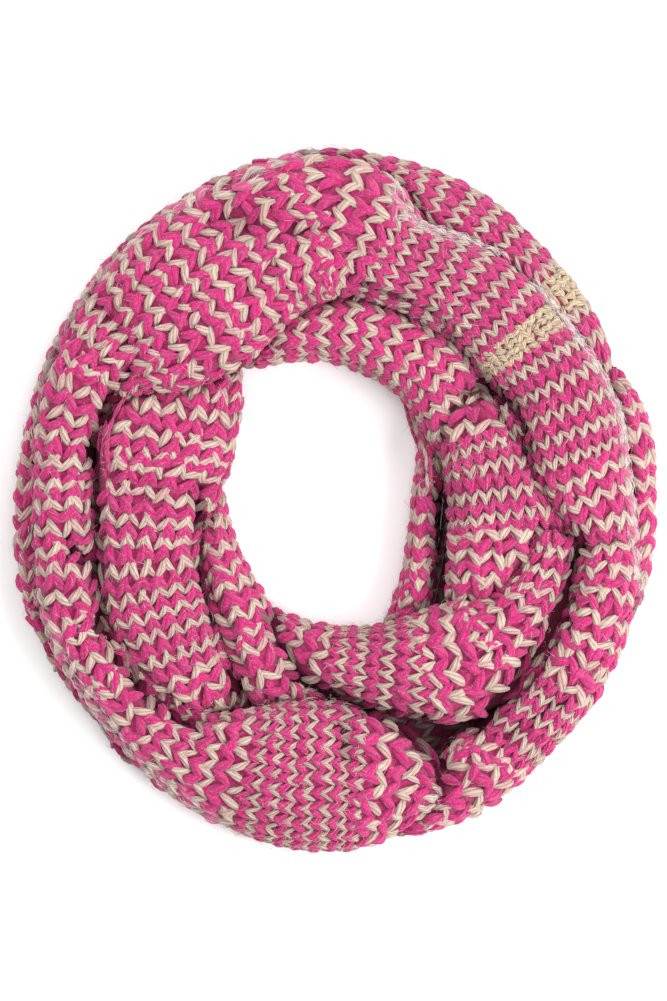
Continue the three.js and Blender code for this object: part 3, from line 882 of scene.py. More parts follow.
class YarnMaterials:
    """Makes the materials of the scarf."""

    def __init__(self, finish: YarnFinish) -> None:
        """Makes the shared groups.

        Args:
            finish: How the yarn looks.
        """
        self.finish = finish
        self.plies = self._ply_group()
        self.palette = self._palette_group()
        self.stitches = self._stitch_group()

    @staticmethod
    def _group(name: str, inputs: dict[str, str], outputs: dict[str, str]) -> tuple:
        tree = bpy.data.node_groups.new(name, "ShaderNodeTree")
        for label, kind in inputs.items():
            tree.interface.new_socket(name=label, in_out="INPUT", socket_type=kind)
        for label, kind in outputs.items():
            tree.interface.new_socket(name=label, in_out="OUTPUT", socket_type=kind)
        shading = Shading(tree)
        return tree, shading, shading.node("NodeGroupInput"), shading.node("NodeGroupOutput")

    def _ply_group(self) -> bpy.types.NodeTree:
        """Height and groove mask of plies that twist round a leg of yarn."""
        tree, s, given, out = self._group(
            "yarn_plies", {"Leg": "NodeSocketVector", "Plies": "NodeSocketFloat",
                           "Twist": "NodeSocketFloat", "Draw": "NodeSocketFloat"},
            {"Height": "NodeSocketFloat", "Groove": "NodeSocketFloat",
             "Fibres": "NodeSocketVector"})
        parts = s.node("ShaderNodeSeparateXYZ")
        s.link(given.outputs["Leg"], parts.inputs[0])
        angle = s.math("ARCTAN2", parts.outputs[2], parts.outputs[1])
        turned = s.math("ADD", s.math("MULTIPLY", angle, given.outputs["Plies"]),
                        s.math("MULTIPLY", parts.outputs[0],
                               s.math("MULTIPLY", given.outputs["Twist"],
                                      s.math("MULTIPLY", given.outputs["Plies"], 2 * math.pi))))
        round_ply = s.math("ABSOLUTE", s.math("COSINE", s.math("MULTIPLY", turned, 0.5)))
        s.link(s.math("POWER", round_ply, 0.6), out.inputs["Height"])
        groove = s.math("SUBTRACT", 1.0, s.math("MULTIPLY", round_ply, 2.2), clamp=True)
        s.link(groove, out.inputs["Groove"])
        wound = s.node("ShaderNodeCombineXYZ")
        s.link(s.math("MULTIPLY_ADD", parts.outputs[0], 0.35,
                      s.math("MULTIPLY", given.outputs["Draw"], 40.0)), wound.inputs[0])
        s.link(s.math("MULTIPLY", parts.outputs[1], 2.0), wound.inputs[1])
        s.link(s.math("MULTIPLY", parts.outputs[2], 2.0), wound.inputs[2])
        s.link(wound.outputs[0], out.inputs["Fibres"])
        return tree

    def _palette_group(self) -> bpy.types.NodeTree:
        """Colour of a yarn from its number, its look (random tone, painted crease shade and painted
        ridge highlight) and where it lies.
        """
        tree, s, given, out = self._group(
            "yarn_palette", {"Yarn": "NodeSocketFloat", "Look": "NodeSocketVector",
                             "Place": "NodeSocketVector"},
            {"Color": "NodeSocketColor", "Light": "NodeSocketFloat"})
        finish = self.finish
        light = s.math("GREATER_THAN", given.outputs["Yarn"], 0.5)
        seam = s.math("GREATER_THAN", given.outputs["Yarn"], 1.5)
        colour = s.mix(seam, s.mix(light, finish.magenta, finish.beige), finish.cream)
        look = s.node("ShaderNodeSeparateXYZ")
        s.link(given.outputs["Look"], look.inputs[0])
        blotch = s.noise(given.outputs["Place"], 120.0, 4.0, 0.7)
        share = s.math("MULTIPLY_ADD", s.math("SUBTRACT", light, seam), 1.4, 1.2)
        haze = s.math("MULTIPLY", s.math("SUBTRACT", blotch, 0.48, clamp=True),
                      s.math("SUBTRACT", share, s.math("MULTIPLY", seam, 1.2)), clamp=True)
        colour = s.mix(haze, colour, finish.haze)
        dull = s.math("MULTIPLY", s.math("SUBTRACT", 1.0, look.outputs[0]), 0.3)
        colour = s.mix(dull, colour, s.mix(0.75, colour, finish.shade))
        # Painted highlight: pale fuzz on the fold ridges, broken up by wisps of noise.
        wisps = s.noise(given.outputs["Place"], 260.0, 3.0, 0.7)
        ridge_share = s.math("MULTIPLY", look.outputs[2],
                        s.math("MULTIPLY_ADD", wisps, 1.6, -0.1, clamp=True), clamp=True)
        colour = s.mix(ridge_share, colour, finish.pale_fuzz_highlight)
        # Painted crease shade multiplies the colour down.
        s.link(s.mix(look.outputs[1], colour, finish.crease_shade, "MULTIPLY"), out.inputs["Color"])
        s.link(light, out.inputs["Light"])
        return tree

    def _stitch_group(self) -> bpy.types.NodeTree:
        """Courses of V-shaped stitches from a map of millimetres along and across the cloth."""
        tree, s, given, out = self._group(
            "flat_stitches", {"Map": "NodeSocketVector", "Wale": "NodeSocketFloat",
                              "Course": "NodeSocketFloat"},
            {"Height": "NodeSocketFloat", "Light": "NodeSocketFloat"})
        parts = s.node("ShaderNodeSeparateXYZ")
        s.link(given.outputs["Map"], parts.inputs[0])
        wale = s.math("FRACT", s.math("DIVIDE", parts.outputs[1], given.outputs["Wale"]))
        slant = s.math("ABSOLUTE", s.math("SUBTRACT", wale, 0.5))
        course = s.math("ADD", s.math("DIVIDE", parts.outputs[0], given.outputs["Course"]),
                        s.math("MULTIPLY", slant, 1.7))
        half_way = s.math("FRACT", s.math("MULTIPLY", course, 0.5))
        s.link(s.math("GREATER_THAN", half_way, 0.5), out.inputs["Light"])
        bow = s.math("SINE", s.math("MULTIPLY", s.math("FRACT", course), math.pi))
        rib = s.math("SINE", s.math("MULTIPLY", s.math("FRACT", s.math("MULTIPLY", slant, 2.0)),
                                    math.pi))
        s.link(s.math("MULTIPLY", bow, s.math("POWER", rib, 0.4)), out.inputs["Height"])
        return tree

    def _material(self, name: str) -> tuple[bpy.types.Material, Shading, bpy.types.Node]:
        material = bpy.data.materials.new(name)
        material.use_nodes = True
        shader = material.node_tree.nodes["Principled BSDF"]
        shader.inputs["Roughness"].default_value = self.finish.roughness
        shader.inputs["Specular IOR Level"].default_value = 0.15
        shader.inputs["Sheen Weight"].default_value = self.finish.sheen
        shader.inputs["Sheen Roughness"].default_value = 0.5
        return material, Shading(material.node_tree), shader

    def yarn(self) -> bpy.types.Material:
        """Makes the plied yarn of the stitches.

        Returns:
            The material. It reads the attributes leg, yarn and look.
        """
        material, s, shader = self._material("knit_yarn")
        leg = s.node("ShaderNodeAttribute", attribute_name="leg")
        number = s.node("ShaderNodeAttribute", attribute_name="yarn")
        look = s.node("ShaderNodeAttribute", attribute_name="look")
        place = s.node("ShaderNodeTexCoord")
        plies = s.node("ShaderNodeGroup", node_tree=self.plies)
        s.link(leg.outputs["Vector"], plies.inputs["Leg"])
        s.link(self.finish.plies, plies.inputs["Plies"])
        s.link(self.finish.twist, plies.inputs["Twist"])
        palette = s.node("ShaderNodeGroup", node_tree=self.palette)
        s.link(number.outputs["Fac"], palette.inputs["Yarn"])
        s.link(look.outputs["Vector"], palette.inputs["Look"])
        s.link(place.outputs["Object"], palette.inputs["Place"])
        drawn = s.node("ShaderNodeSeparateXYZ")
        s.link(look.outputs["Vector"], drawn.inputs[0])
        s.link(drawn.outputs[0], plies.inputs["Draw"])
        fibre = s.noise(plies.outputs["Fibres"], 2.6, 3.0, 0.7)
        fluff = s.noise(place.outputs["Object"], 800.0, 2.0, 0.7)
        light = palette.outputs["Light"]
        # Painted shade: the grooves between the plies, which are only a bump, turn toward the shade
        # colour; fibre streaks add random tone.
        groove = s.math("MULTIPLY", plies.outputs["Groove"],
                        s.math("MULTIPLY_ADD", light, 0.15, 0.5))
        streak = s.math("MULTIPLY", s.math("SUBTRACT", fibre, 0.47, clamp=True), 3.2, clamp=True)
        colour = s.mix(s.math("MAXIMUM", groove, s.math("MULTIPLY", streak, 0.8)),
                       palette.outputs["Color"],
                       s.mix(0.5, palette.outputs["Color"], self.finish.shade))
        # Pale fuzz of random tone, less where painted crease shade lies.
        fuzz = s.math("MULTIPLY", s.math("SUBTRACT", fluff, 0.5, clamp=True),
                      s.math("MULTIPLY_ADD", drawn.outputs[1], -3.0, 3.0), clamp=True)
        colour = s.mix(fuzz, colour, s.mix(light, self.finish.haze, self.finish.beige))
        s.link(colour, shader.inputs["Base Color"])
        # Painted crease shade also takes the sheen away.
        s.link(s.math("MULTIPLY_ADD", drawn.outputs[1], -self.finish.sheen, self.finish.sheen),
               shader.inputs["Sheen Weight"])
        height = s.math("ADD", plies.outputs["Height"],
                        s.math("ADD", s.math("MULTIPLY", fibre, 0.6),
                               s.math("MULTIPLY", fluff, 0.5)))
        bump = s.node("ShaderNodeBump")
        bump.inputs["Strength"].default_value = 1.0
        bump.inputs["Distance"].default_value = 1.0 * MM
        s.link(height, bump.inputs["Height"])
        s.link(bump.outputs["Normal"], shader.inputs["Normal"])
        return material

    def ground(self) -> bpy.types.Material:
        """Makes the felted cloth that shows between the raised stitches.

        Returns:
            The material. It reads the attribute look.
        """
        material, s, shader = self._material("knit_ground")
        place = s.node("ShaderNodeTexCoord")
        fluff = s.noise(place.outputs["Object"], 380.0, 4.0, 0.8)
        pale = s.noise(place.outputs["Object"], 260.0, 3.0, 0.75)
        dull = s.math("MULTIPLY_ADD", fluff, 4.0, -1.6, clamp=True)
        colour = s.mix(s.math("MULTIPLY_ADD", pale, 2.6, -1.25, clamp=True), self.finish.magenta,
                       self.finish.haze)
        look = s.node("ShaderNodeAttribute", attribute_name="look")
        parts = s.node("ShaderNodeSeparateXYZ")
        s.link(look.outputs["Vector"], parts.inputs[0])
        colour = s.mix(dull, colour, self.finish.shade)
        # Painted crease shade darkens the ground and takes its sheen away.
        s.link(s.mix(parts.outputs[1], colour, self.finish.crease_shade, "MULTIPLY"),
               shader.inputs["Base Color"])
        s.link(s.math("MULTIPLY_ADD", parts.outputs[1], -self.finish.sheen, self.finish.sheen),
               shader.inputs["Sheen Weight"])
        bump = s.node("ShaderNodeBump")
        bump.inputs["Strength"].default_value = 1.0
        bump.inputs["Distance"].default_value = 3.0 * MM
        s.link(fluff, bump.inputs["Height"])
        s.link(bump.outputs["Normal"], shader.inputs["Normal"])
        return material

    def flat_knit(self, name: str, wale: float, course: float,
                  painted_shade: float) -> bpy.types.Material:
        """Makes cloth with its courses drawn flat.

        Args:
            name: The material's name.
            wale: The width of a stitch, in millimetres.
            course: The pitch of the courses, in millimetres.
            painted_shade: How far the whole cloth is multiplied toward the crease shade colour, as
                painted shade.

        Returns:
            The material. It reads the map named cloth, in millimetres along and across.
        """
        material, s, shader = self._material(name)
        layout = s.node("ShaderNodeUVMap", uv_map="cloth")
        place = s.node("ShaderNodeTexCoord")
        stitches = s.node("ShaderNodeGroup", node_tree=self.stitches)
        s.link(layout.outputs[0], stitches.inputs["Map"])
        s.link(wale, stitches.inputs["Wale"])
        s.link(course, stitches.inputs["Course"])
        palette = s.node("ShaderNodeGroup", node_tree=self.palette)
        s.link(stitches.outputs["Light"], palette.inputs["Yarn"])
        s.link((0.8, 0.0, 0.0), palette.inputs["Look"])
        s.link(place.outputs["Object"], palette.inputs["Place"])
        fluff = s.noise(place.outputs["Object"], 700.0, 3.0, 0.6)
        # Painted shade: the low parts between the drawn stitches turn toward the shade colour.
        low = s.math("SUBTRACT", 1.0, stitches.outputs["Height"])
        colour = s.mix(s.math("MULTIPLY", low, 0.8), palette.outputs["Color"], self.finish.shade)
        # Painted shade over the whole cloth.
        s.link(s.mix(painted_shade, colour, self.finish.crease_shade, "MULTIPLY"), shader.inputs["Base Color"])
        bump = s.node("ShaderNodeBump")
        bump.inputs["Strength"].default_value = 0.9
        bump.inputs["Distance"].default_value = 1.6 * MM
        s.link(s.math("ADD", stitches.outputs["Height"], s.math("MULTIPLY", fluff, 0.35)),
               bump.inputs["Height"])
        s.link(bump.outputs["Normal"], shader.inputs["Normal"])
        return material

    def hairs(self) -> bpy.types.Material:
        """Makes the loose hairs round the yarn.

        Returns:
            The material. It reads the attributes yarn and look.
        """
        material, s, shader = self._material("loose_hairs")
        number = s.node("ShaderNodeAttribute", attribute_name="yarn")
        look = s.node("ShaderNodeAttribute", attribute_name="look")
        parts = s.node("ShaderNodeSeparateXYZ")
        s.link(look.outputs["Vector"], parts.inputs[0])
        light = s.math("GREATER_THAN", number.outputs["Fac"], 0.5)
        colour = s.mix(light, (0.52, 0.05, 0.20, 1.0), (0.60, 0.48, 0.38, 1.0))
        colour = s.mix(s.math("MULTIPLY", parts.outputs[0], 0.3), colour, self.finish.pale_fuzz_highlight)
        # Painted highlight on the ridge hairs.
        colour = s.mix(parts.outputs[2], colour, self.finish.pale_fuzz_highlight)
        # Painted crease shade darkens the hairs and takes their sheen away.
        s.link(s.mix(parts.outputs[1], colour, self.finish.crease_shade, "MULTIPLY"),
               shader.inputs["Base Color"])
        s.link(s.math("MULTIPLY_ADD", parts.outputs[1], -self.finish.sheen, self.finish.sheen),
               shader.inputs["Sheen Weight"])
        return material


@dataclass(frozen=True)
class StrandShape:
    """The shape of one strand that a tree lays on every point, in its own thicknesses.

    Attributes:
        sides: Sides of its section.
        rings: Points along it.
        slender: Its length.
        bow: How far its middle is lifted.
        sway: How far it bends to one side and back.
        end_size: Thickness of its ends.
    """

    sides: int
    rings: int
    slender: float
    bow: float
    sway: float
    end_size: float


class StrandTree:
    """A Geometry Nodes tree that lays one strand of yarn on every point of a mesh."""

    FLOATS = ("Slender", "Bow", "Sway", "End Size", "Angle Jitter", "Size Jitter")
    WHOLES = ("Sides", "Rings", "Seed")

    def __init__(self, name: str) -> None:
        """Builds the tree.

        Args:
            name: The tree's name.
        """
        self.tree = bpy.data.node_groups.new(name, "GeometryNodeTree")
        self.s = Shading(self.tree)
        face = self.tree.interface
        face.new_socket(name="Points", in_out="INPUT", socket_type="NodeSocketGeometry")
        self.sockets = {}
        for label in self.FLOATS:
            self.sockets[label] = face.new_socket(name=label, in_out="INPUT",
                                                  socket_type="NodeSocketFloat").identifier
        for label in self.WHOLES:
            self.sockets[label] = face.new_socket(name=label, in_out="INPUT",
                                                  socket_type="NodeSocketInt").identifier
        self.sockets["Material"] = face.new_socket(name="Material", in_out="INPUT",
                                                   socket_type="NodeSocketMaterial").identifier
        face.new_socket(name="Strands", in_out="OUTPUT", socket_type="NodeSocketGeometry")
        self.given = self.s.node("NodeGroupInput")
        strand = self._strand()
        self._lay(strand)

    def _maths(self, operation: str, *values: object) -> bpy.types.NodeSocket:
        return self.s.math(operation, *values)

    def _vector(self, x: object, y: object, z: object) -> bpy.types.NodeSocket:
        made = self.s.node("ShaderNodeCombineXYZ")
        for value, socket in zip((x, y, z), made.inputs):
            self.s.link(value, socket)
        return made.outputs[0]

    def _strand(self) -> bpy.types.NodeSocket:
        """One strand of unit thickness, with its place along it and round it in leg."""
        s, given = self.s, self.given.outputs
        curve = s.node("GeometryNodeCurvePrimitiveBezierSegment")
        curve.inputs["Resolution"].default_value = 12
        for end, side in (("Start", -1.0), ("End", 1.0)):
            s.link(self._vector(self._maths("MULTIPLY", given["Slender"], 0.5 * side), 0.0, 0.0),
                   curve.inputs[end])
            s.link(self._vector(self._maths("MULTIPLY", given["Slender"], 0.18 * side),
                                self._maths("MULTIPLY", given["Sway"], -side), given["Bow"]),
                   curve.inputs[end + " Handle"])
        points = s.node("GeometryNodeResampleCurve")
        s.link(curve.outputs[0], points.inputs["Curve"])
        s.link(given["Rings"], points.inputs["Count"])
        place = s.node("GeometryNodeSplineParameter")
        from_middle = self._maths("SUBTRACT", place.outputs["Factor"], 0.5)
        bent, along = self._capture(points.outputs[0], "FLOAT", from_middle)
        away = self._maths("ABSOLUTE", from_middle)
        fade = self._maths("POWER", self._maths("MULTIPLY", away, 2.0), 1.7)
        lost = self._maths("MULTIPLY", fade, self._maths("SUBTRACT", 1.0, given["End Size"]))
        ring = s.node("GeometryNodeCurvePrimitiveCircle")
        s.link(given["Sides"], ring.inputs["Resolution"])
        ring.inputs["Radius"].default_value = 0.5
        position = s.node("GeometryNodeInputPosition")
        profile, around = self._capture(ring.outputs[0], "VECTOR", position.outputs[0])
        tube = s.node("GeometryNodeCurveToMesh")
        s.link(bent, tube.inputs["Curve"])
        s.link(profile, tube.inputs["Profile Curve"])
        s.link(self._maths("SUBTRACT", 1.0, lost), tube.inputs["Scale"])
        tube.inputs["Fill Caps"].default_value = True
        smooth = s.node("GeometryNodeSetShadeSmooth")
        s.link(tube.outputs[0], smooth.inputs[0])
        stored = s.node("GeometryNodeStoreNamedAttribute", data_type="FLOAT_VECTOR", domain="POINT")
        sides = s.node("ShaderNodeSeparateXYZ")
        s.link(around, sides.inputs[0])
        s.link(smooth.outputs[0], stored.inputs["Geometry"])
        stored.inputs["Name"].default_value = "leg"
        s.link(self._vector(self._maths("MULTIPLY", along, given["Slender"]), sides.outputs[0],
                            sides.outputs[1]), stored.inputs["Value"])
        return stored.outputs[0]

    def _capture(self, geometry: bpy.types.NodeSocket, kind: str,
                 value: bpy.types.NodeSocket) -> tuple[bpy.types.NodeSocket, bpy.types.NodeSocket]:
        """Keeps a value on a curve's points, and gives the curve and the value."""
        made = self.s.node("GeometryNodeCaptureAttribute", domain="POINT")
        made.capture_items.new(kind, "Kept")
        self.s.link(geometry, made.inputs[0])
        self.s.link(value, made.inputs[1])
        return made.outputs[0], made.outputs[1]

    def _lay(self, strand: bpy.types.NodeSocket) -> None:
        """Lays the strand on the points, with seeded irregularity."""
        s, given = self.s, self.given.outputs
        turn = s.node("GeometryNodeInputNamedAttribute", data_type="QUATERNION")
        turn.inputs[0].default_value = "turn"
        size = s.node("GeometryNodeInputNamedAttribute", data_type="FLOAT_VECTOR")
        size.inputs[0].default_value = "size"
        laid = s.node("GeometryNodeInstanceOnPoints")
        s.link(given["Points"], laid.inputs["Points"])
        s.link(strand, laid.inputs["Instance"])
        s.link(turn.outputs[0], laid.inputs["Rotation"])
        s.link(size.outputs[0], laid.inputs["Scale"])
        wobble = s.node("FunctionNodeRandomValue", data_type="FLOAT_VECTOR")
        angle = given["Angle Jitter"]
        s.link(self._vector(*(self._maths("MULTIPLY", angle, -1.0),) * 3), wobble.inputs[0])
        s.link(self._vector(angle, angle, angle), wobble.inputs[1])
        s.link(given["Seed"], wobble.inputs["Seed"])
        turned = s.node("GeometryNodeRotateInstances")
        s.link(laid.outputs[0], turned.inputs["Instances"])
        s.link(wobble.outputs[0], turned.inputs["Rotation"])
        swell = s.node("FunctionNodeRandomValue", data_type="FLOAT_VECTOR")
        change = given["Size Jitter"]
        less, more = self._maths("SUBTRACT", 1.0, change), self._maths("ADD", 1.0, change)
        s.link(self._vector(less, less, less), swell.inputs[0])
        s.link(self._vector(more, more, more), swell.inputs[1])
        s.link(self._maths("ADD", given["Seed"], 17.0), swell.inputs["Seed"])
        scaled = s.node("GeometryNodeScaleInstances")
        s.link(turned.outputs[0], scaled.inputs["Instances"])
        s.link(swell.outputs[0], scaled.inputs["Scale"])
        real = s.node("GeometryNodeRealizeInstances")
        s.link(scaled.outputs[0], real.inputs["Geometry"])
        painted = s.node("GeometryNodeSetMaterial")
        s.link(real.outputs[0], painted.inputs["Geometry"])
        s.link(given["Material"], painted.inputs["Material"])
        out = s.node("NodeGroupOutput")
        s.link(painted.outputs[0], out.inputs[0])

    def lay(self, name: str, points: "StrandPoints", shape: StrandShape, jitter: tuple[float, float],
            seed: int, material: bpy.types.Material) -> bpy.types.Object:
        """Lays strands on points and turns them to one plain mesh.

        Args:
            name: The new object's name.
            points: Where the strands go.
            shape: The strand's shape.
            jitter: Most turn in radians and most change of size, each way.
            seed: The seed of the jitter.
            material: The strands' material.

        Returns:
            The object, at the origin.
        """
        cloud = points.to_object(name + "_points", shape.slender)
        modifier = cloud.modifiers.new("strands", "NODES")
        modifier.node_group = self.tree
        values = {"Slender": shape.slender, "Bow": shape.bow, "Sway": shape.sway,
                  "End Size": shape.end_size,
                  "Angle Jitter": jitter[0], "Size Jitter": jitter[1], "Sides": shape.sides,
                  "Rings": shape.rings, "Seed": seed, "Material": material}
        for label, value in values.items():
            modifier[self.sockets[label]] = value
        graph = bpy.context.evaluated_depsgraph_get()
        mesh = bpy.data.meshes.new_from_object(cloud.evaluated_get(graph),
                                               preserve_all_data_layers=True, depsgraph=graph)
        mesh.name = name
        mesh.materials.clear()
        mesh.materials.append(material)
        mesh.polygons.foreach_set("material_index", [0] * len(mesh.polygons))
        for label in ("turn", "size"):
            if label in mesh.attributes:
                mesh.attributes.remove(mesh.attributes[label])
        made = bpy.data.objects.new(name, mesh)
        bpy.context.scene.collection.objects.link(made)
        bpy.data.objects.remove(cloud)
        return made


@dataclass
class StrandPoints:
    """Where strands go, in millimetres.

    Attributes:
        centres: Their middles.
        forward: Unit directions along them.
        normals: Unit directions away from the cloth.
        sizes: Their length, width and thickness.
        yarn: The yarn's number for each.
        look: Its random tone, its painted crease shade and its painted ridge highlight, each 0 to 1.
    """

    FIELDS = ("centres", "forward", "normals", "sizes", "yarn", "look")

    centres: np.ndarray
    forward: np.ndarray
    normals: np.ndarray
    sizes: np.ndarray
    yarn: np.ndarray
    look: np.ndarray

    @classmethod
    def join(cls, sets: list["StrandPoints"]) -> "StrandPoints":
        """Joins sets of points.

        Args:
            sets: The sets.

        Returns:
            All their points.
        """
        return cls(*(np.concatenate([getattr(found, name) for found in sets])
                     for name in cls.FIELDS))

    def keep(self, wanted: np.ndarray) -> "StrandPoints":
        """Keeps some of the points.

        Args:
            wanted: True for each point to keep.

        Returns:
            Those points.
        """
        return StrandPoints(*(getattr(self, name)[wanted] for name in self.FIELDS))

    def quaternions(self) -> np.ndarray:
        """Gives the rotation of each strand.

        Returns:
            Quaternions, w first.
        """
        x = self.forward / np.linalg.norm(self.forward, axis=1, keepdims=True)
        y = np.cross(self.normals, x)
        y /= np.linalg.norm(y, axis=1, keepdims=True)
        z = np.cross(x, y)
        m = np.stack([x, y, z], -1)
        trace = np.stack([1 + m[:, 0, 0] + m[:, 1, 1] + m[:, 2, 2],
                          1 + m[:, 0, 0] - m[:, 1, 1] - m[:, 2, 2],
                          1 - m[:, 0, 0] + m[:, 1, 1] - m[:, 2, 2],
                          1 - m[:, 0, 0] - m[:, 1, 1] + m[:, 2, 2]], 1)
        turn = 0.5 * np.sqrt(np.maximum(trace, 0.0))
        turn[:, 1] = np.copysign(turn[:, 1], m[:, 2, 1] - m[:, 1, 2])
        turn[:, 2] = np.copysign(turn[:, 2], m[:, 0, 2] - m[:, 2, 0])
        turn[:, 3] = np.copysign(turn[:, 3], m[:, 1, 0] - m[:, 0, 1])
        return turn / np.linalg.norm(turn, axis=1, keepdims=True)

    def to_object(self, name: str, slender: float) -> bpy.types.Object:
        """Makes a mesh of loose points with the strands' attributes.

        Args:
            name: The object's name.
            slender: The length of the strand that is laid, in its own thicknesses.

        Returns:
            The object, in metres.
        """
        mesh = bpy.data.meshes.new(name)
        mesh.vertices.add(len(self.centres))
        mesh.vertices.foreach_set("co", (self.centres * MM).astype(np.float32).ravel())
        for label, kind, field, data in (
                ("turn", "QUATERNION", "value", self.quaternions()),
                ("size", "FLOAT_VECTOR", "vector", self.sizes * MM / (slender, 1.0, 1.0)),
                ("yarn", "FLOAT", "value", self.yarn), ("look", "FLOAT_VECTOR", "vector", self.look)):
            made = mesh.attributes.new(label, kind, "POINT")
            made.data.foreach_set(field, np.ascontiguousarray(data, np.float32).ravel())
        found = bpy.data.objects.new(name, mesh)
        bpy.context.scene.collection.objects.link(found)
        return found


def mesh_object(name: str, points: np.ndarray, faces: list[tuple[int, ...]], uvs: np.ndarray,
                material: bpy.types.Material) -> bpy.types.Object:
    """Makes a smooth mesh with a map named cloth.

    Args:
        name: The object's name.
        points: Its vertices, in millimetres.
        faces: Its faces.
        uvs: The map at each vertex, in millimetres.
        material: Its material.

    Returns:
        The object, at the origin.
    """
    mesh = bpy.data.meshes.new(name)
    mesh.from_pydata((points * MM).tolist(), [], faces)
    corners = np.empty(len(mesh.loops), np.int32)
    mesh.loops.foreach_get("vertex_index", corners)
    layer = mesh.uv_layers.new(name="cloth")
    layer.data.foreach_set("uv", uvs[corners].astype(np.float32).ravel())
    mesh.polygons.foreach_set("use_smooth", [True] * len(mesh.polygons))
    mesh.materials.append(material)
    mesh.update()
    made = bpy.data.objects.new(name, mesh)
    bpy.context.scene.collection.objects.link(made)
    return made


@dataclass(frozen=True)
class ClothSizes:
    """Sizes shared by every stretch, in millimetres.

    Attributes:
        shell_inset: How far the ground of the cloth lies inside the solid's face.
        shell_thick: The ground's own thickness.
        leg_inset: How far the middle of a leg lies inside the solid's face, as a share of the yarn.
        buried: How deep under another run a strand may lie before it is left out.
        leg_spread: How far a leg's far end lies from the middle of its stitch, in stitch widths.
        leg_foot: How far its near end lies from it, in stitch widths.
        leg_overlap: How much longer a leg is than its own run, in yarn thicknesses.
        leg_flat: A leg's thickness across the cloth's face, as a share of its width.
        leg_lean: How far a leg's bow leans away from the middle of its stitch.
        fuller: How thick the magenta yarn is beside the gauge.
        warp: How far the courses wander, along and across.
        crease: How far the cloth drops beside a run that lies over it.
        crease_reach: How far from that run the drop fades.
        bare: How strong a crease may be before its stitches are too deep in it to show.
        facing: How far down a stitch may face before it is left out, as its normal's height.
        hairs_per_leg: Loose hairs by each leg.
        ridge_hairs: Loose hairs by each leg on a ridge.
        hair: Least and most length of a hair.
        hair_thick: Thickness of a hair.
    """

    shell_inset: float = 1.3
    shell_thick: float = 1.6
    leg_inset: float = 0.38
    buried: float = 3.5
    leg_spread: float = 0.47
    leg_foot: float = 0.05
    leg_overlap: float = 0.85
    leg_flat: float = 0.85
    leg_lean: float = 0.8
    fuller: float = 1.18
    warp: tuple[float, float] = (2.1, 1.8)
    crease: float = 7.0
    crease_reach: float = 4.5
    bare: float = 0.85
    facing: float = -0.55
    hairs_per_leg: float = 3.2
    ridge_hairs: float = 14.0
    hair: tuple[float, float] = (3.0, 8.0)
    hair_thick: float = 0.2


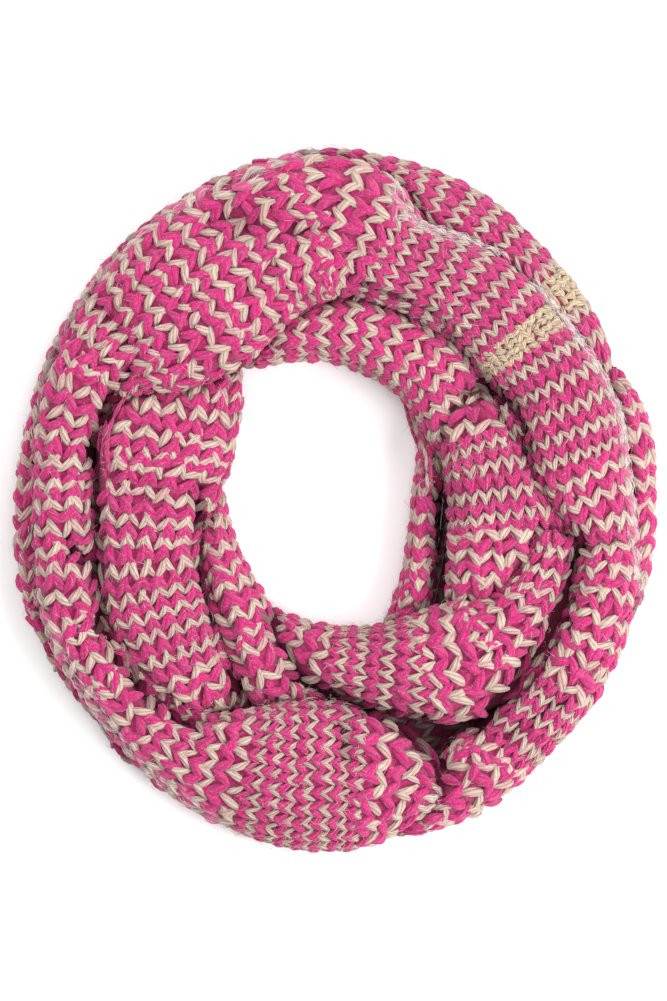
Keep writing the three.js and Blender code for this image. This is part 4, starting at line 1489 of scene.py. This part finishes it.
class ClothStretch:
    """One stretch of knitted cloth: its ground, its stitches and its hairs."""

    LEG = StrandShape(sides=6, rings=6, slender=2.8, bow=0.64, sway=0.14, end_size=0.4)
    HAIR = StrandShape(sides=3, rings=3, slender=32.0, bow=6.0, sway=6.0, end_size=0.4)

    def __init__(self, stretch: Stretch, path: ClothPath, covers: list[Cover], sizes: ClothSizes,
                 seed: int) -> None:
        """Lays out the stretch.

        Args:
            stretch: Which stretch it is.
            path: Its path.
            covers: Every run of the pile.
            sizes: Sizes shared by every stretch.
            seed: The seed of its irregularity.
        """
        self.stretch, self.sizes, self.seed = stretch, sizes, seed
        self.random = np.random.default_rng(seed)
        self.waves = self.random.uniform((0.05, 1.0, 0.0), (0.16, 7.0, 2 * math.pi), (2, 4, 3))
        self.start, self.end = (path.place_of_row(row) for row in (stretch.start, stretch.end))
        self.surface = ClothSurface(path, self.start, self.end)
        self.path = path
        self.above = [cover for cover in covers if cover.layer < stretch.layer]
        self.edgings = [edging for edging in EDGINGS if edging.node == stretch.node]
        grid = self.surface.points
        flat = grid.reshape(-1, 3)
        drop = sizes.crease * self._nearness(flat, sizes.crease_reach)
        drop = np.maximum(drop, sizes.crease * self._strongest(CREASES, flat)[0])
        drop *= np.clip(flat[:, 2] / sizes.crease - 2, 0.0, 1.0)
        self.surface.sink(drop.reshape(grid.shape[:2]))

    def build(self, ground: bpy.types.Material) -> bpy.types.Object:
        """Builds the ground of the cloth as a thin closed shell.

        Args:
            ground: Its material.

        Returns:
            The shell.
        """
        surface, sizes = self.surface, self.sizes
        outer = surface.points - surface.normals * sizes.shell_inset
        inner = surface.points - surface.normals * (sizes.shell_inset + sizes.shell_thick)
        rows, columns = outer.shape[:2]
        keep = self._visible(outer.reshape(-1, 3), 6.0).reshape(rows, columns)
        shares = np.linspace(0.0, 1.0, columns)
        layout = np.stack([np.broadcast_to(surface.stops[:, None], (rows, columns)),
                           surface.widths[:, None] * shares[None, :]], -1)
        points = np.concatenate([outer.reshape(-1, 3), inner.reshape(-1, 3)])
        points[:, 2] = np.maximum(points[:, 2], 0.2)
        uvs = np.concatenate([layout.reshape(-1, 2)] * 2)
        half = rows * columns
        cells = keep[:-1, :-1] | keep[1:, :-1] | keep[:-1, 1:] | keep[1:, 1:]
        cells = self._largest(cells)
        faces, edges = [], {}
        for i, j in zip(*np.nonzero(cells)):
            a, b = i * columns + j, i * columns + j + 1
            c, d = b + columns, a + columns
            faces += [(a, d, c, b), (a + half, b + half, c + half, d + half)]
            for edge in ((a, d), (d, c), (c, b), (b, a)):
                if edge[::-1] in edges:
                    del edges[edge[::-1]]
                else:
                    edges[edge] = True
        faces += [(b, a, a + half, b + half) for a, b in edges]
        used = sorted({corner for face in faces for corner in face})
        place = {old: new for new, old in enumerate(used)}
        faces = [tuple(place[corner] for corner in face) for face in faces]
        shell = mesh_object(self.stretch.node + "_cloth", points[used], faces, uvs[used], ground)
        # The look carries the painted crease shade and ridge highlight onto the ground.
        look = shell.data.attributes.new("look", "FLOAT_VECTOR", "POINT")
        look.data.foreach_set("vector", self._look(points[used]).astype(np.float32).ravel())
        self.area = self._area(shell) / 2
        return shell

    @staticmethod
    def _largest(cells: np.ndarray) -> np.ndarray:
        """Keeps the cells that hang together with the most others by whole edges."""
        mark, count = np.zeros(cells.shape, int), 0
        for start in zip(*np.nonzero(cells)):
            if mark[start]:
                continue
            count += 1
            stack = [start]
            while stack:
                i, j = stack.pop()
                if not (0 <= i < cells.shape[0] and 0 <= j < cells.shape[1]):
                    continue
                if cells[i, j] and not mark[i, j]:
                    mark[i, j] = count
                    stack += [(i + 1, j), (i - 1, j), (i, j + 1), (i, j - 1)]
        best = np.bincount(mark[mark > 0]).argmax()
        return mark == best

    @staticmethod
    def _area(shell: bpy.types.Object) -> float:
        return sum(polygon.area for polygon in shell.data.polygons)

    def _visible(self, points: np.ndarray, depth: float) -> np.ndarray:
        """Tells which points aren't buried deeper than depth under another run."""
        shown = np.ones(len(points), bool)
        for cover in self.above:
            shown &= cover.depth_of(points) < depth
        return shown

    def _nearness(self, points: np.ndarray, reach: float) -> np.ndarray:
        """Tells how close points lie to a run over them, from 0 to 1 beside or under it."""
        near = np.zeros(len(points))
        for cover in self.above:
            gap = cover.gap_to(points, cover.path is self.path)
            near = np.maximum(near, np.exp(-((gap / reach) ** 2)))
        return near

    def _wander(self, along: np.ndarray, across: np.ndarray) -> list[np.ndarray]:
        """Gives how far the knit is pulled out of line along and across it, about -1 to 1."""
        return [sum(np.sin(along * a + across * b + c) for a, b, c in waves) / 2.5
                for waves in self.waves]

    def stitches(self) -> StrandPoints:
        """Lays out two legs of yarn for every stitch.

        Returns:
            The legs that aren't buried.
        """
        begin, sets, count = self.start, [], 0
        for row, knit in self.stretch.bands:
            until = self.path.place_of_row(row)
            gauge = knit.value
            courses = max(1, round((until - begin) / gauge.course))
            wales = max(3, round(float(self.surface.width_at(
                np.linspace(begin, until, 9)).mean()) / gauge.wale))
            pitch = (until - begin) / courses
            along = begin + (np.arange(courses) + 0.5) * pitch
            across = (np.arange(wales) + 0.5) / wales
            grid_along, grid_across = (g.ravel() for g in np.meshgrid(along, across, indexing="ij"))
            number = (count + np.arange(courses)) % 2
            if knit is Knit.SEAM:
                number = np.full(courses, int(Yarn.CREAM))
            number = np.repeat(number, wales)
            loose = gauge.wale / Knit.FINE.value.wale
            wander = self.random.normal(0.0, 0.055 * loose, (len(grid_along), 2))
            warp = np.array(self.sizes.warp) * loose
            width = self.surface.width_at(grid_along)
            pulled = self._wander(grid_along, grid_across)
            grid_along = grid_along + wander[:, 0] * pitch + pulled[0] * warp[0]
            grid_across = grid_across + wander[:, 1] / wales + pulled[1] * warp[1] / width
            for side in (-1.0, 1.0):
                sets.append(self._legs(grid_along, grid_across, side, pitch, wales, gauge, number))
            begin, count = until, count + courses
        joined = StrandPoints.join(sets)
        for edging in self.edgings:
            near = Streak(edging.line, max(edging.clear, 0.01), 1.0).nearness(joined.centres)[0]
            joined = joined.keep(near < math.exp(-1))
        joined = joined.keep(self._strongest(CREASES, joined.centres)[0] < self.sizes.bare)
        outward = joined.normals[:, 2] / np.linalg.norm(joined.normals, axis=1)
        joined = joined.keep(outward > self.sizes.facing)
        joined = StrandPoints.join([joined] + self._edging())
        return joined.keep(self._visible(joined.centres, self.sizes.buried)
                           & (joined.centres[:, 2] > 1.0))

    def _legs(self, along: np.ndarray, across: np.ndarray, side: float, pitch: float, wales: int,
              gauge: Gauge, number: np.ndarray) -> StrandPoints:
        sizes, surface = self.sizes, self.surface
        reach = 0.5 * gauge.reach * pitch
        ends = []
        for shift, spread in ((reach, sizes.leg_foot), (-reach, sizes.leg_spread)):
            at, over = along + shift, across + side * spread / wales
            point = surface.sample(surface.points, at, over)
            outside = at - np.clip(at, self.start, self.end)
            point += surface.sample(surface.along_way, at, over) * outside[:, None]
            ends.append(point)
        normals = surface.sample(surface.normals, along, across + side * 0.28 / wales)
        forward = ends[0] - ends[1]
        run = np.linalg.norm(forward, axis=1)
        width = surface.width_at(along) / wales
        thick = gauge.thick * np.clip(width / gauge.wale, 0.7, 1.2) ** 0.5
        thick *= np.where(number == Yarn.MAGENTA, sizes.fuller, gauge.light)
        centres = (ends[0] + ends[1]) / 2 - normals * (sizes.leg_inset * thick)[:, None]
        lengths = run + sizes.leg_overlap * thick
        forward += self.random.normal(0.0, gauge.loose, forward.shape) * run[:, None]
        forward /= np.linalg.norm(forward, axis=1, keepdims=True)
        droop = 0.6 * lengths * np.abs(forward[:, 2])
        centres[:, 2] = np.maximum(centres[:, 2], 0.9 * thick + np.minimum(droop, 4.0))
        outward = side * np.cross(normals, surface.sample(surface.along_way, along, across))
        lean = self.random.normal(sizes.leg_lean, 0.25, (len(along), 1))
        look = self._look(centres)
        return StrandPoints(centres, forward, normals + lean * outward,
                            np.stack([lengths, thick, thick * sizes.leg_flat], 1),
                            number.astype(float), look)

    def _look(self, points: np.ndarray) -> np.ndarray:
        """Gives the random tone, the painted crease shade and the painted ridge highlight of strands at
        points.
        """
        creased = self._strongest(CREASES, points)[0]
        # Painted shade: darker beside a run that lies over it and along the creases.
        crease_shade = np.maximum(0.5 * self._nearness(points, 2.0), 0.6 * creased)
        crease_shade = np.maximum(crease_shade, np.clip((creased - 0.4) / 0.4, 0.0, 1.0))
        # Painted highlight of pale fuzz on the fold ridges, less where painted crease shade lies.
        pale_fuzz_highlight = 0.4 * self._strongest(RIDGES, points)[0] * (1 - crease_shade)
        return np.stack([self.random.random(len(points)), 0.96 * crease_shade, pale_fuzz_highlight], 1)

    @staticmethod
    def _strongest(streaks: tuple[Streak, ...], points: np.ndarray) -> tuple[np.ndarray, ...]:
        """Tells how strong the strongest streak is at points, which way it runs and how far off."""
        found = [streak.nearness(points) for streak in streaks]
        best, every = np.argmax([shares for shares, _, _ in found], 0), np.arange(len(points))
        return tuple(np.array(values)[best, every] for values in zip(*found))

    def _edging(self) -> list[StrandPoints]:
        """Lays out the lengthwise yarn on the stretch's edges."""
        found = []
        for edging in self.edgings:
            line = np.array(edging.line, float)
            steps = np.linalg.norm(np.diff(line, axis=0), axis=1)
            length = np.concatenate(([0.0], np.cumsum(steps)))
            for place, yarn in enumerate(edging.yarns):
                count = round(length[-1] / (1.9 * edging.thick))
                at = (np.arange(count) + self.random.uniform(0.1, 0.9)) / count * length[-1]
                ahead = [np.stack([np.interp(at + shift, length, line[:, axis]) for axis in (0, 1)], 1)
                         for shift in (-3.0, 3.0)]
                way = ahead[1] - ahead[0]
                way /= np.linalg.norm(way, axis=1, keepdims=True)
                side = (place - (len(edging.yarns) - 1) / 2) * edging.thick * 0.8
                spot = (ahead[0] + ahead[1]) / 2 + side * np.stack([-way[:, 1], way[:, 0]], 1)
                centres = self._on_surface(spot)
                forward = np.column_stack([way, self.random.normal(0, 0.12, count)])
                sizes = np.array([3.8, 1.0, 1.0]) * edging.thick
                # Edging yarn takes a little of the painted crease shade and ridge highlight.
                look = self._look(centres) * (1.0, 0.15, 0.3)
                up = np.tile((0.0, 0.0, 1.0), (count, 1))
                found.append(StrandPoints(centres, forward, up, np.tile(sizes, (count, 1)),
                                          np.full(count, float(yarn)), look))
        return found

    def _on_surface(self, spot: np.ndarray) -> np.ndarray:
        """Lifts points in plan to the face of the cloth."""
        grid = self.surface.points.reshape(-1, 3)
        nearest = ((spot[:, None] - grid[None, :, :2]) ** 2).sum(-1).argmin(1)
        return np.column_stack([spot, grid[nearest, 2] + 4.5])

    def hairs(self, legs: StrandPoints) -> StrandPoints:
        """Scatters loose hairs about the legs, most of all along the ridges.

        Args:
            legs: The legs of the stretch.

        Returns:
            The hairs that aren't buried.
        """
        sizes, draw = self.sizes, self.random
        ridge_share, way, off = self._strongest(RIDGES, legs.centres)
        wanted = sizes.hairs_per_leg + (ridge_share > 0.1) * sizes.ridge_hairs * ridge_share
        host = np.repeat(np.arange(len(wanted)), draw.poisson(wanted))
        count = len(host)
        ridge = (ridge_share[host] > 0.1)[:, None] & (draw.random((count, 1)) < 0.9)
        forward = draw.normal(size=(count, 3)) * np.where(ridge, 0.2, 1.0)
        forward[:, :2] += np.where(ridge, way[host], 0.0)
        normals = legs.normals[host] / np.linalg.norm(legs.normals[host], axis=1, keepdims=True)
        forward -= 0.9 * (forward * normals).sum(1, keepdims=True) * normals
        forward /= np.linalg.norm(forward, axis=1, keepdims=True)
        length = draw.uniform(*sizes.hair, count) * np.where(ridge[:, 0], 1.5, 1.0)
        thick = sizes.hair_thick * draw.uniform(0.7, 1.3, count) * np.where(ridge[:, 0], 1.7, 1.0)
        lift = 0.5 * legs.sizes[host, 2] + draw.uniform(0.0, 0.9, count)
        scatter = draw.normal(0, 1.6, (count, 3)) * np.where(ridge, 0.5, 1.0)
        centres = legs.centres[host] + normals * lift[:, None] + scatter
        shift = np.where(ridge, -0.8, 0.0) * off[host]
        centres[:, :2] += shift
        centres[:, 2] -= (normals[:, :2] * shift).sum(1) / np.maximum(normals[:, 2], 0.4)
        yarn = np.where(draw.random(count) < 0.3, Yarn.BEIGE, legs.yarn[host])
        look = legs.look[host]
        # Hairs on a ridge take the painted highlight.
        look[:, 2] = np.where(ridge[:, 0], 0.9, look[:, 2])
        found = StrandPoints(centres, forward, normals, np.stack([length, thick, thick], 1), yarn,
                             look)
        lowest = found.centres[:, 2] > 2.0 + 0.55 * length
        return found.keep(self._visible(found.centres, 1.0) & lowest)


@dataclass(frozen=True)
class StageSizes:
    """Sizes of the studio, in metres.

    Attributes:
        pixel: The size of one pixel of the photograph on the scarf.
        frame_pixels: Width and height of the photograph.
        distance: The camera's height.
        focus_height: The height at which the photograph's scale holds.
        sensor: The camera's sensor along the photograph's long side, in millimetres.
        floor: Half the width of the floor.
    """

    pixel: float = 0.0006
    frame_pixels: tuple[int, int] = (667, 1001)
    distance: float = 4.0
    focus_height: float = 0.04
    sensor: float = 36.0
    floor: float = 6.0


class Studio:
    """The camera, the pale floor and the soft light."""

    def __init__(self, sizes: StageSizes) -> None:
        """Keeps the sizes.

        Args:
            sizes: The studio's sizes.
        """
        self.sizes = sizes

    def build(self) -> None:
        """Makes the camera, the floor, the lamps and the world."""
        self._camera()
        self._floor()
        for name, place, energy, width in (("key", (-1.2, 1.0, 1.3), 21.0, 1.0),
                                           ("fill", (1.4, -0.7, 1.3), 50.0, 1.2),
                                           ("back", (0.7, 1.5, 1.3), 16.0, 1.0),
                                           ("top", (0.0, 0.0, 2.4), 10.0, 1.0)):
            lamp = bpy.data.lights.new(name, "AREA")
            lamp.energy, lamp.size = energy, width
            made = bpy.data.objects.new(name, lamp)
            made.location = place
            made.rotation_mode = "QUATERNION"
            made.rotation_quaternion = Vector(place).to_track_quat("Z", "Y")
            bpy.context.scene.collection.objects.link(made)
        world = bpy.data.worlds.new("studio")
        world.use_nodes = True
        world.node_tree.nodes["Background"].inputs["Color"].default_value = (1.0, 1.0, 1.0, 1.0)
        world.node_tree.nodes["Background"].inputs["Strength"].default_value = 0.5
        bpy.context.scene.world = world
        bpy.context.scene.view_settings.view_transform = "Standard"

    def _camera(self) -> None:
        sizes = self.sizes
        camera = bpy.data.cameras.new("camera")
        camera.sensor_fit = "AUTO"
        camera.sensor_width = sizes.sensor
        tall = sizes.frame_pixels[1] * sizes.pixel
        camera.lens = sizes.sensor * (sizes.distance - sizes.focus_height) / tall
        made = bpy.data.objects.new("camera", camera)
        made.location = (-sizes.pixel, -sizes.pixel, sizes.distance)
        camera.clip_end = 20.0
        bpy.context.scene.collection.objects.link(made)
        bpy.context.scene.camera = made

    def _floor(self) -> None:
        half = self.sizes.floor
        mesh = bpy.data.meshes.new("floor")
        mesh.from_pydata([(-half, -half, 0), (half, -half, 0), (half, half, 0), (-half, half, 0)], [],
                         [(0, 1, 2, 3)])
        material = bpy.data.materials.new("floor")
        material.use_nodes = True
        shader = material.node_tree.nodes["Principled BSDF"]
        shader.inputs["Base Color"].default_value = (0.93, 0.93, 0.93, 1.0)
        shader.inputs["Roughness"].default_value = 0.95
        mesh.materials.append(material)
        floor = bpy.data.objects.new("floor", mesh)
        bpy.context.scene.collection.objects.link(floor)


class HiddenLayers:
    """The layers of cloth inside and under the stretches that show."""

    NODE = "hidden_layers"
    INSET = 3.5
    SEAT = 6.0

    def build(self, material: bpy.types.Material) -> bpy.types.Object:
        """Builds the layers on their solid's own form.

        Args:
            material: Their material.

        Returns:
            The layers as one closed mesh.
        """
        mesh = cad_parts[self.NODE].data.copy()
        mesh.name = self.NODE + "_cloth"
        points = np.empty(len(mesh.vertices) * 3, np.float32)
        mesh.vertices.foreach_get("co", points)
        points = points.reshape(-1, 3) / MM - np.array([*RING_MIDDLE, 0.0])
        normals = np.empty(len(mesh.vertices) * 3, np.float32)
        mesh.vertices.foreach_get("normal", normals)
        inset = self.INSET * np.clip(points[:, 2] / self.SEAT - 1, 0.0, 1.0)
        moved = points - normals.reshape(-1, 3) * inset[:, None] + np.array([*RING_MIDDLE, 0.0])
        mesh.vertices.foreach_set("co", (moved * MM).astype(np.float32).ravel())
        angle = np.arctan2(points[:, 1], points[:, 0])
        layout = np.stack([angle * RING_RADIUS, np.hypot(points[:, 0], points[:, 1]) + points[:, 2]],
                          1)
        corners = np.empty(len(mesh.loops), np.int32)
        mesh.loops.foreach_get("vertex_index", corners)
        uvs = layout[corners]
        turn = 2 * math.pi * RING_RADIUS
        starts = np.empty(len(mesh.polygons), np.int32)
        mesh.polygons.foreach_get("loop_start", starts)
        for start in starts:
            three = slice(start, start + 3)
            if np.ptp(uvs[three, 0]) > turn / 2:
                uvs[three, 0] = np.where(uvs[three, 0] < 0, uvs[three, 0] + turn, uvs[three, 0])
        while mesh.uv_layers:
            mesh.uv_layers.remove(mesh.uv_layers[0])
        layer = mesh.uv_layers.new(name="cloth")
        layer.data.foreach_set("uv", uvs.astype(np.float32).ravel())
        mesh.materials.clear()
        mesh.materials.append(material)
        made = bpy.data.objects.new(self.NODE + "_cloth", mesh)
        bpy.context.scene.collection.objects.link(made)
        return made


class Scarf:
    """The whole scarf."""

    BODY = "root"
    SEED = 7

    def __init__(self, sizes: ClothSizes, finish: YarnFinish) -> None:
        """Measures the paths and makes the materials.

        Args:
            sizes: Sizes shared by every stretch.
            finish: How the yarn looks.
        """
        self.sizes = sizes
        self.materials = YarnMaterials(finish)
        self.paths = {route: ClothPath(rows, False) for route, rows in MIDDLE_ROWS.items()}
        self.paths |= {route: ClothPath(rows, True) for route, rows in EDGE_ROWS.items()}
        self.covers = self._covers()
        self.tree = StrandTree("lay_strands")

    def _covers(self) -> list[Cover]:
        runs: dict[tuple[int, Route], list[float]] = {}
        for stretch in STRETCHES:
            runs.setdefault((stretch.layer, stretch.route), []).extend((stretch.start, stretch.end))
        return [Cover(self.paths[route], self.paths[route].place_of_row(min(rows)),
                      self.paths[route].place_of_row(max(rows)), layer)
                for (layer, route), rows in runs.items()]

    def _ride(self, piece: bpy.types.Object) -> None:
        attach(piece, self.BODY)

    def build(self) -> None:
        """Builds and dresses every stretch."""
        ground = self.materials.ground()
        # The hidden layers are painted with shade all over, since they lie deep inside the ring.
        deep = self.materials.flat_knit("shaded_hidden_knit", 9.0, 7.2, 0.85)
        yarn, loose = self.materials.yarn(), self.materials.hairs()
        layers = HiddenLayers().build(deep)
        self._ride(layers)
        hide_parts(HiddenLayers.NODE)
        for number, stretch in enumerate(STRETCHES):
            cloth = ClothStretch(stretch, self.paths[stretch.route], self.covers, self.sizes,
                                 self.SEED + number)
            shell = cloth.build(ground)
            self._ride(shell)
            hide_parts(stretch.node)
            legs = cloth.stitches()
            stitches = self.tree.lay(stretch.node + "_stitches", legs, ClothStretch.LEG,
                                     (0.08, 0.15), self.SEED + number, yarn)
            self._ride(stitches)
            strands = cloth.hairs(legs)
            hairs = self.tree.lay(stretch.node + "_hairs", strands, ClothStretch.HAIR, (0.25, 0.3),
                                  self.SEED + number, loose)
            self._ride(hairs)
            LOG.info("%s: %d legs, %d hairs, %d triangles", stretch.node, len(legs.centres),
                     len(strands.centres), sum(len(p.vertices) - 2 for o in (shell, stitches, hairs)
                                               for p in o.data.polygons))


def main() -> None:
    """Builds the scarf and its studio."""
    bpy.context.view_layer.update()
    Scarf(ClothSizes(), YarnFinish()).build()
    Studio(StageSizes()).build()


if __name__ == "__main__":
    main()
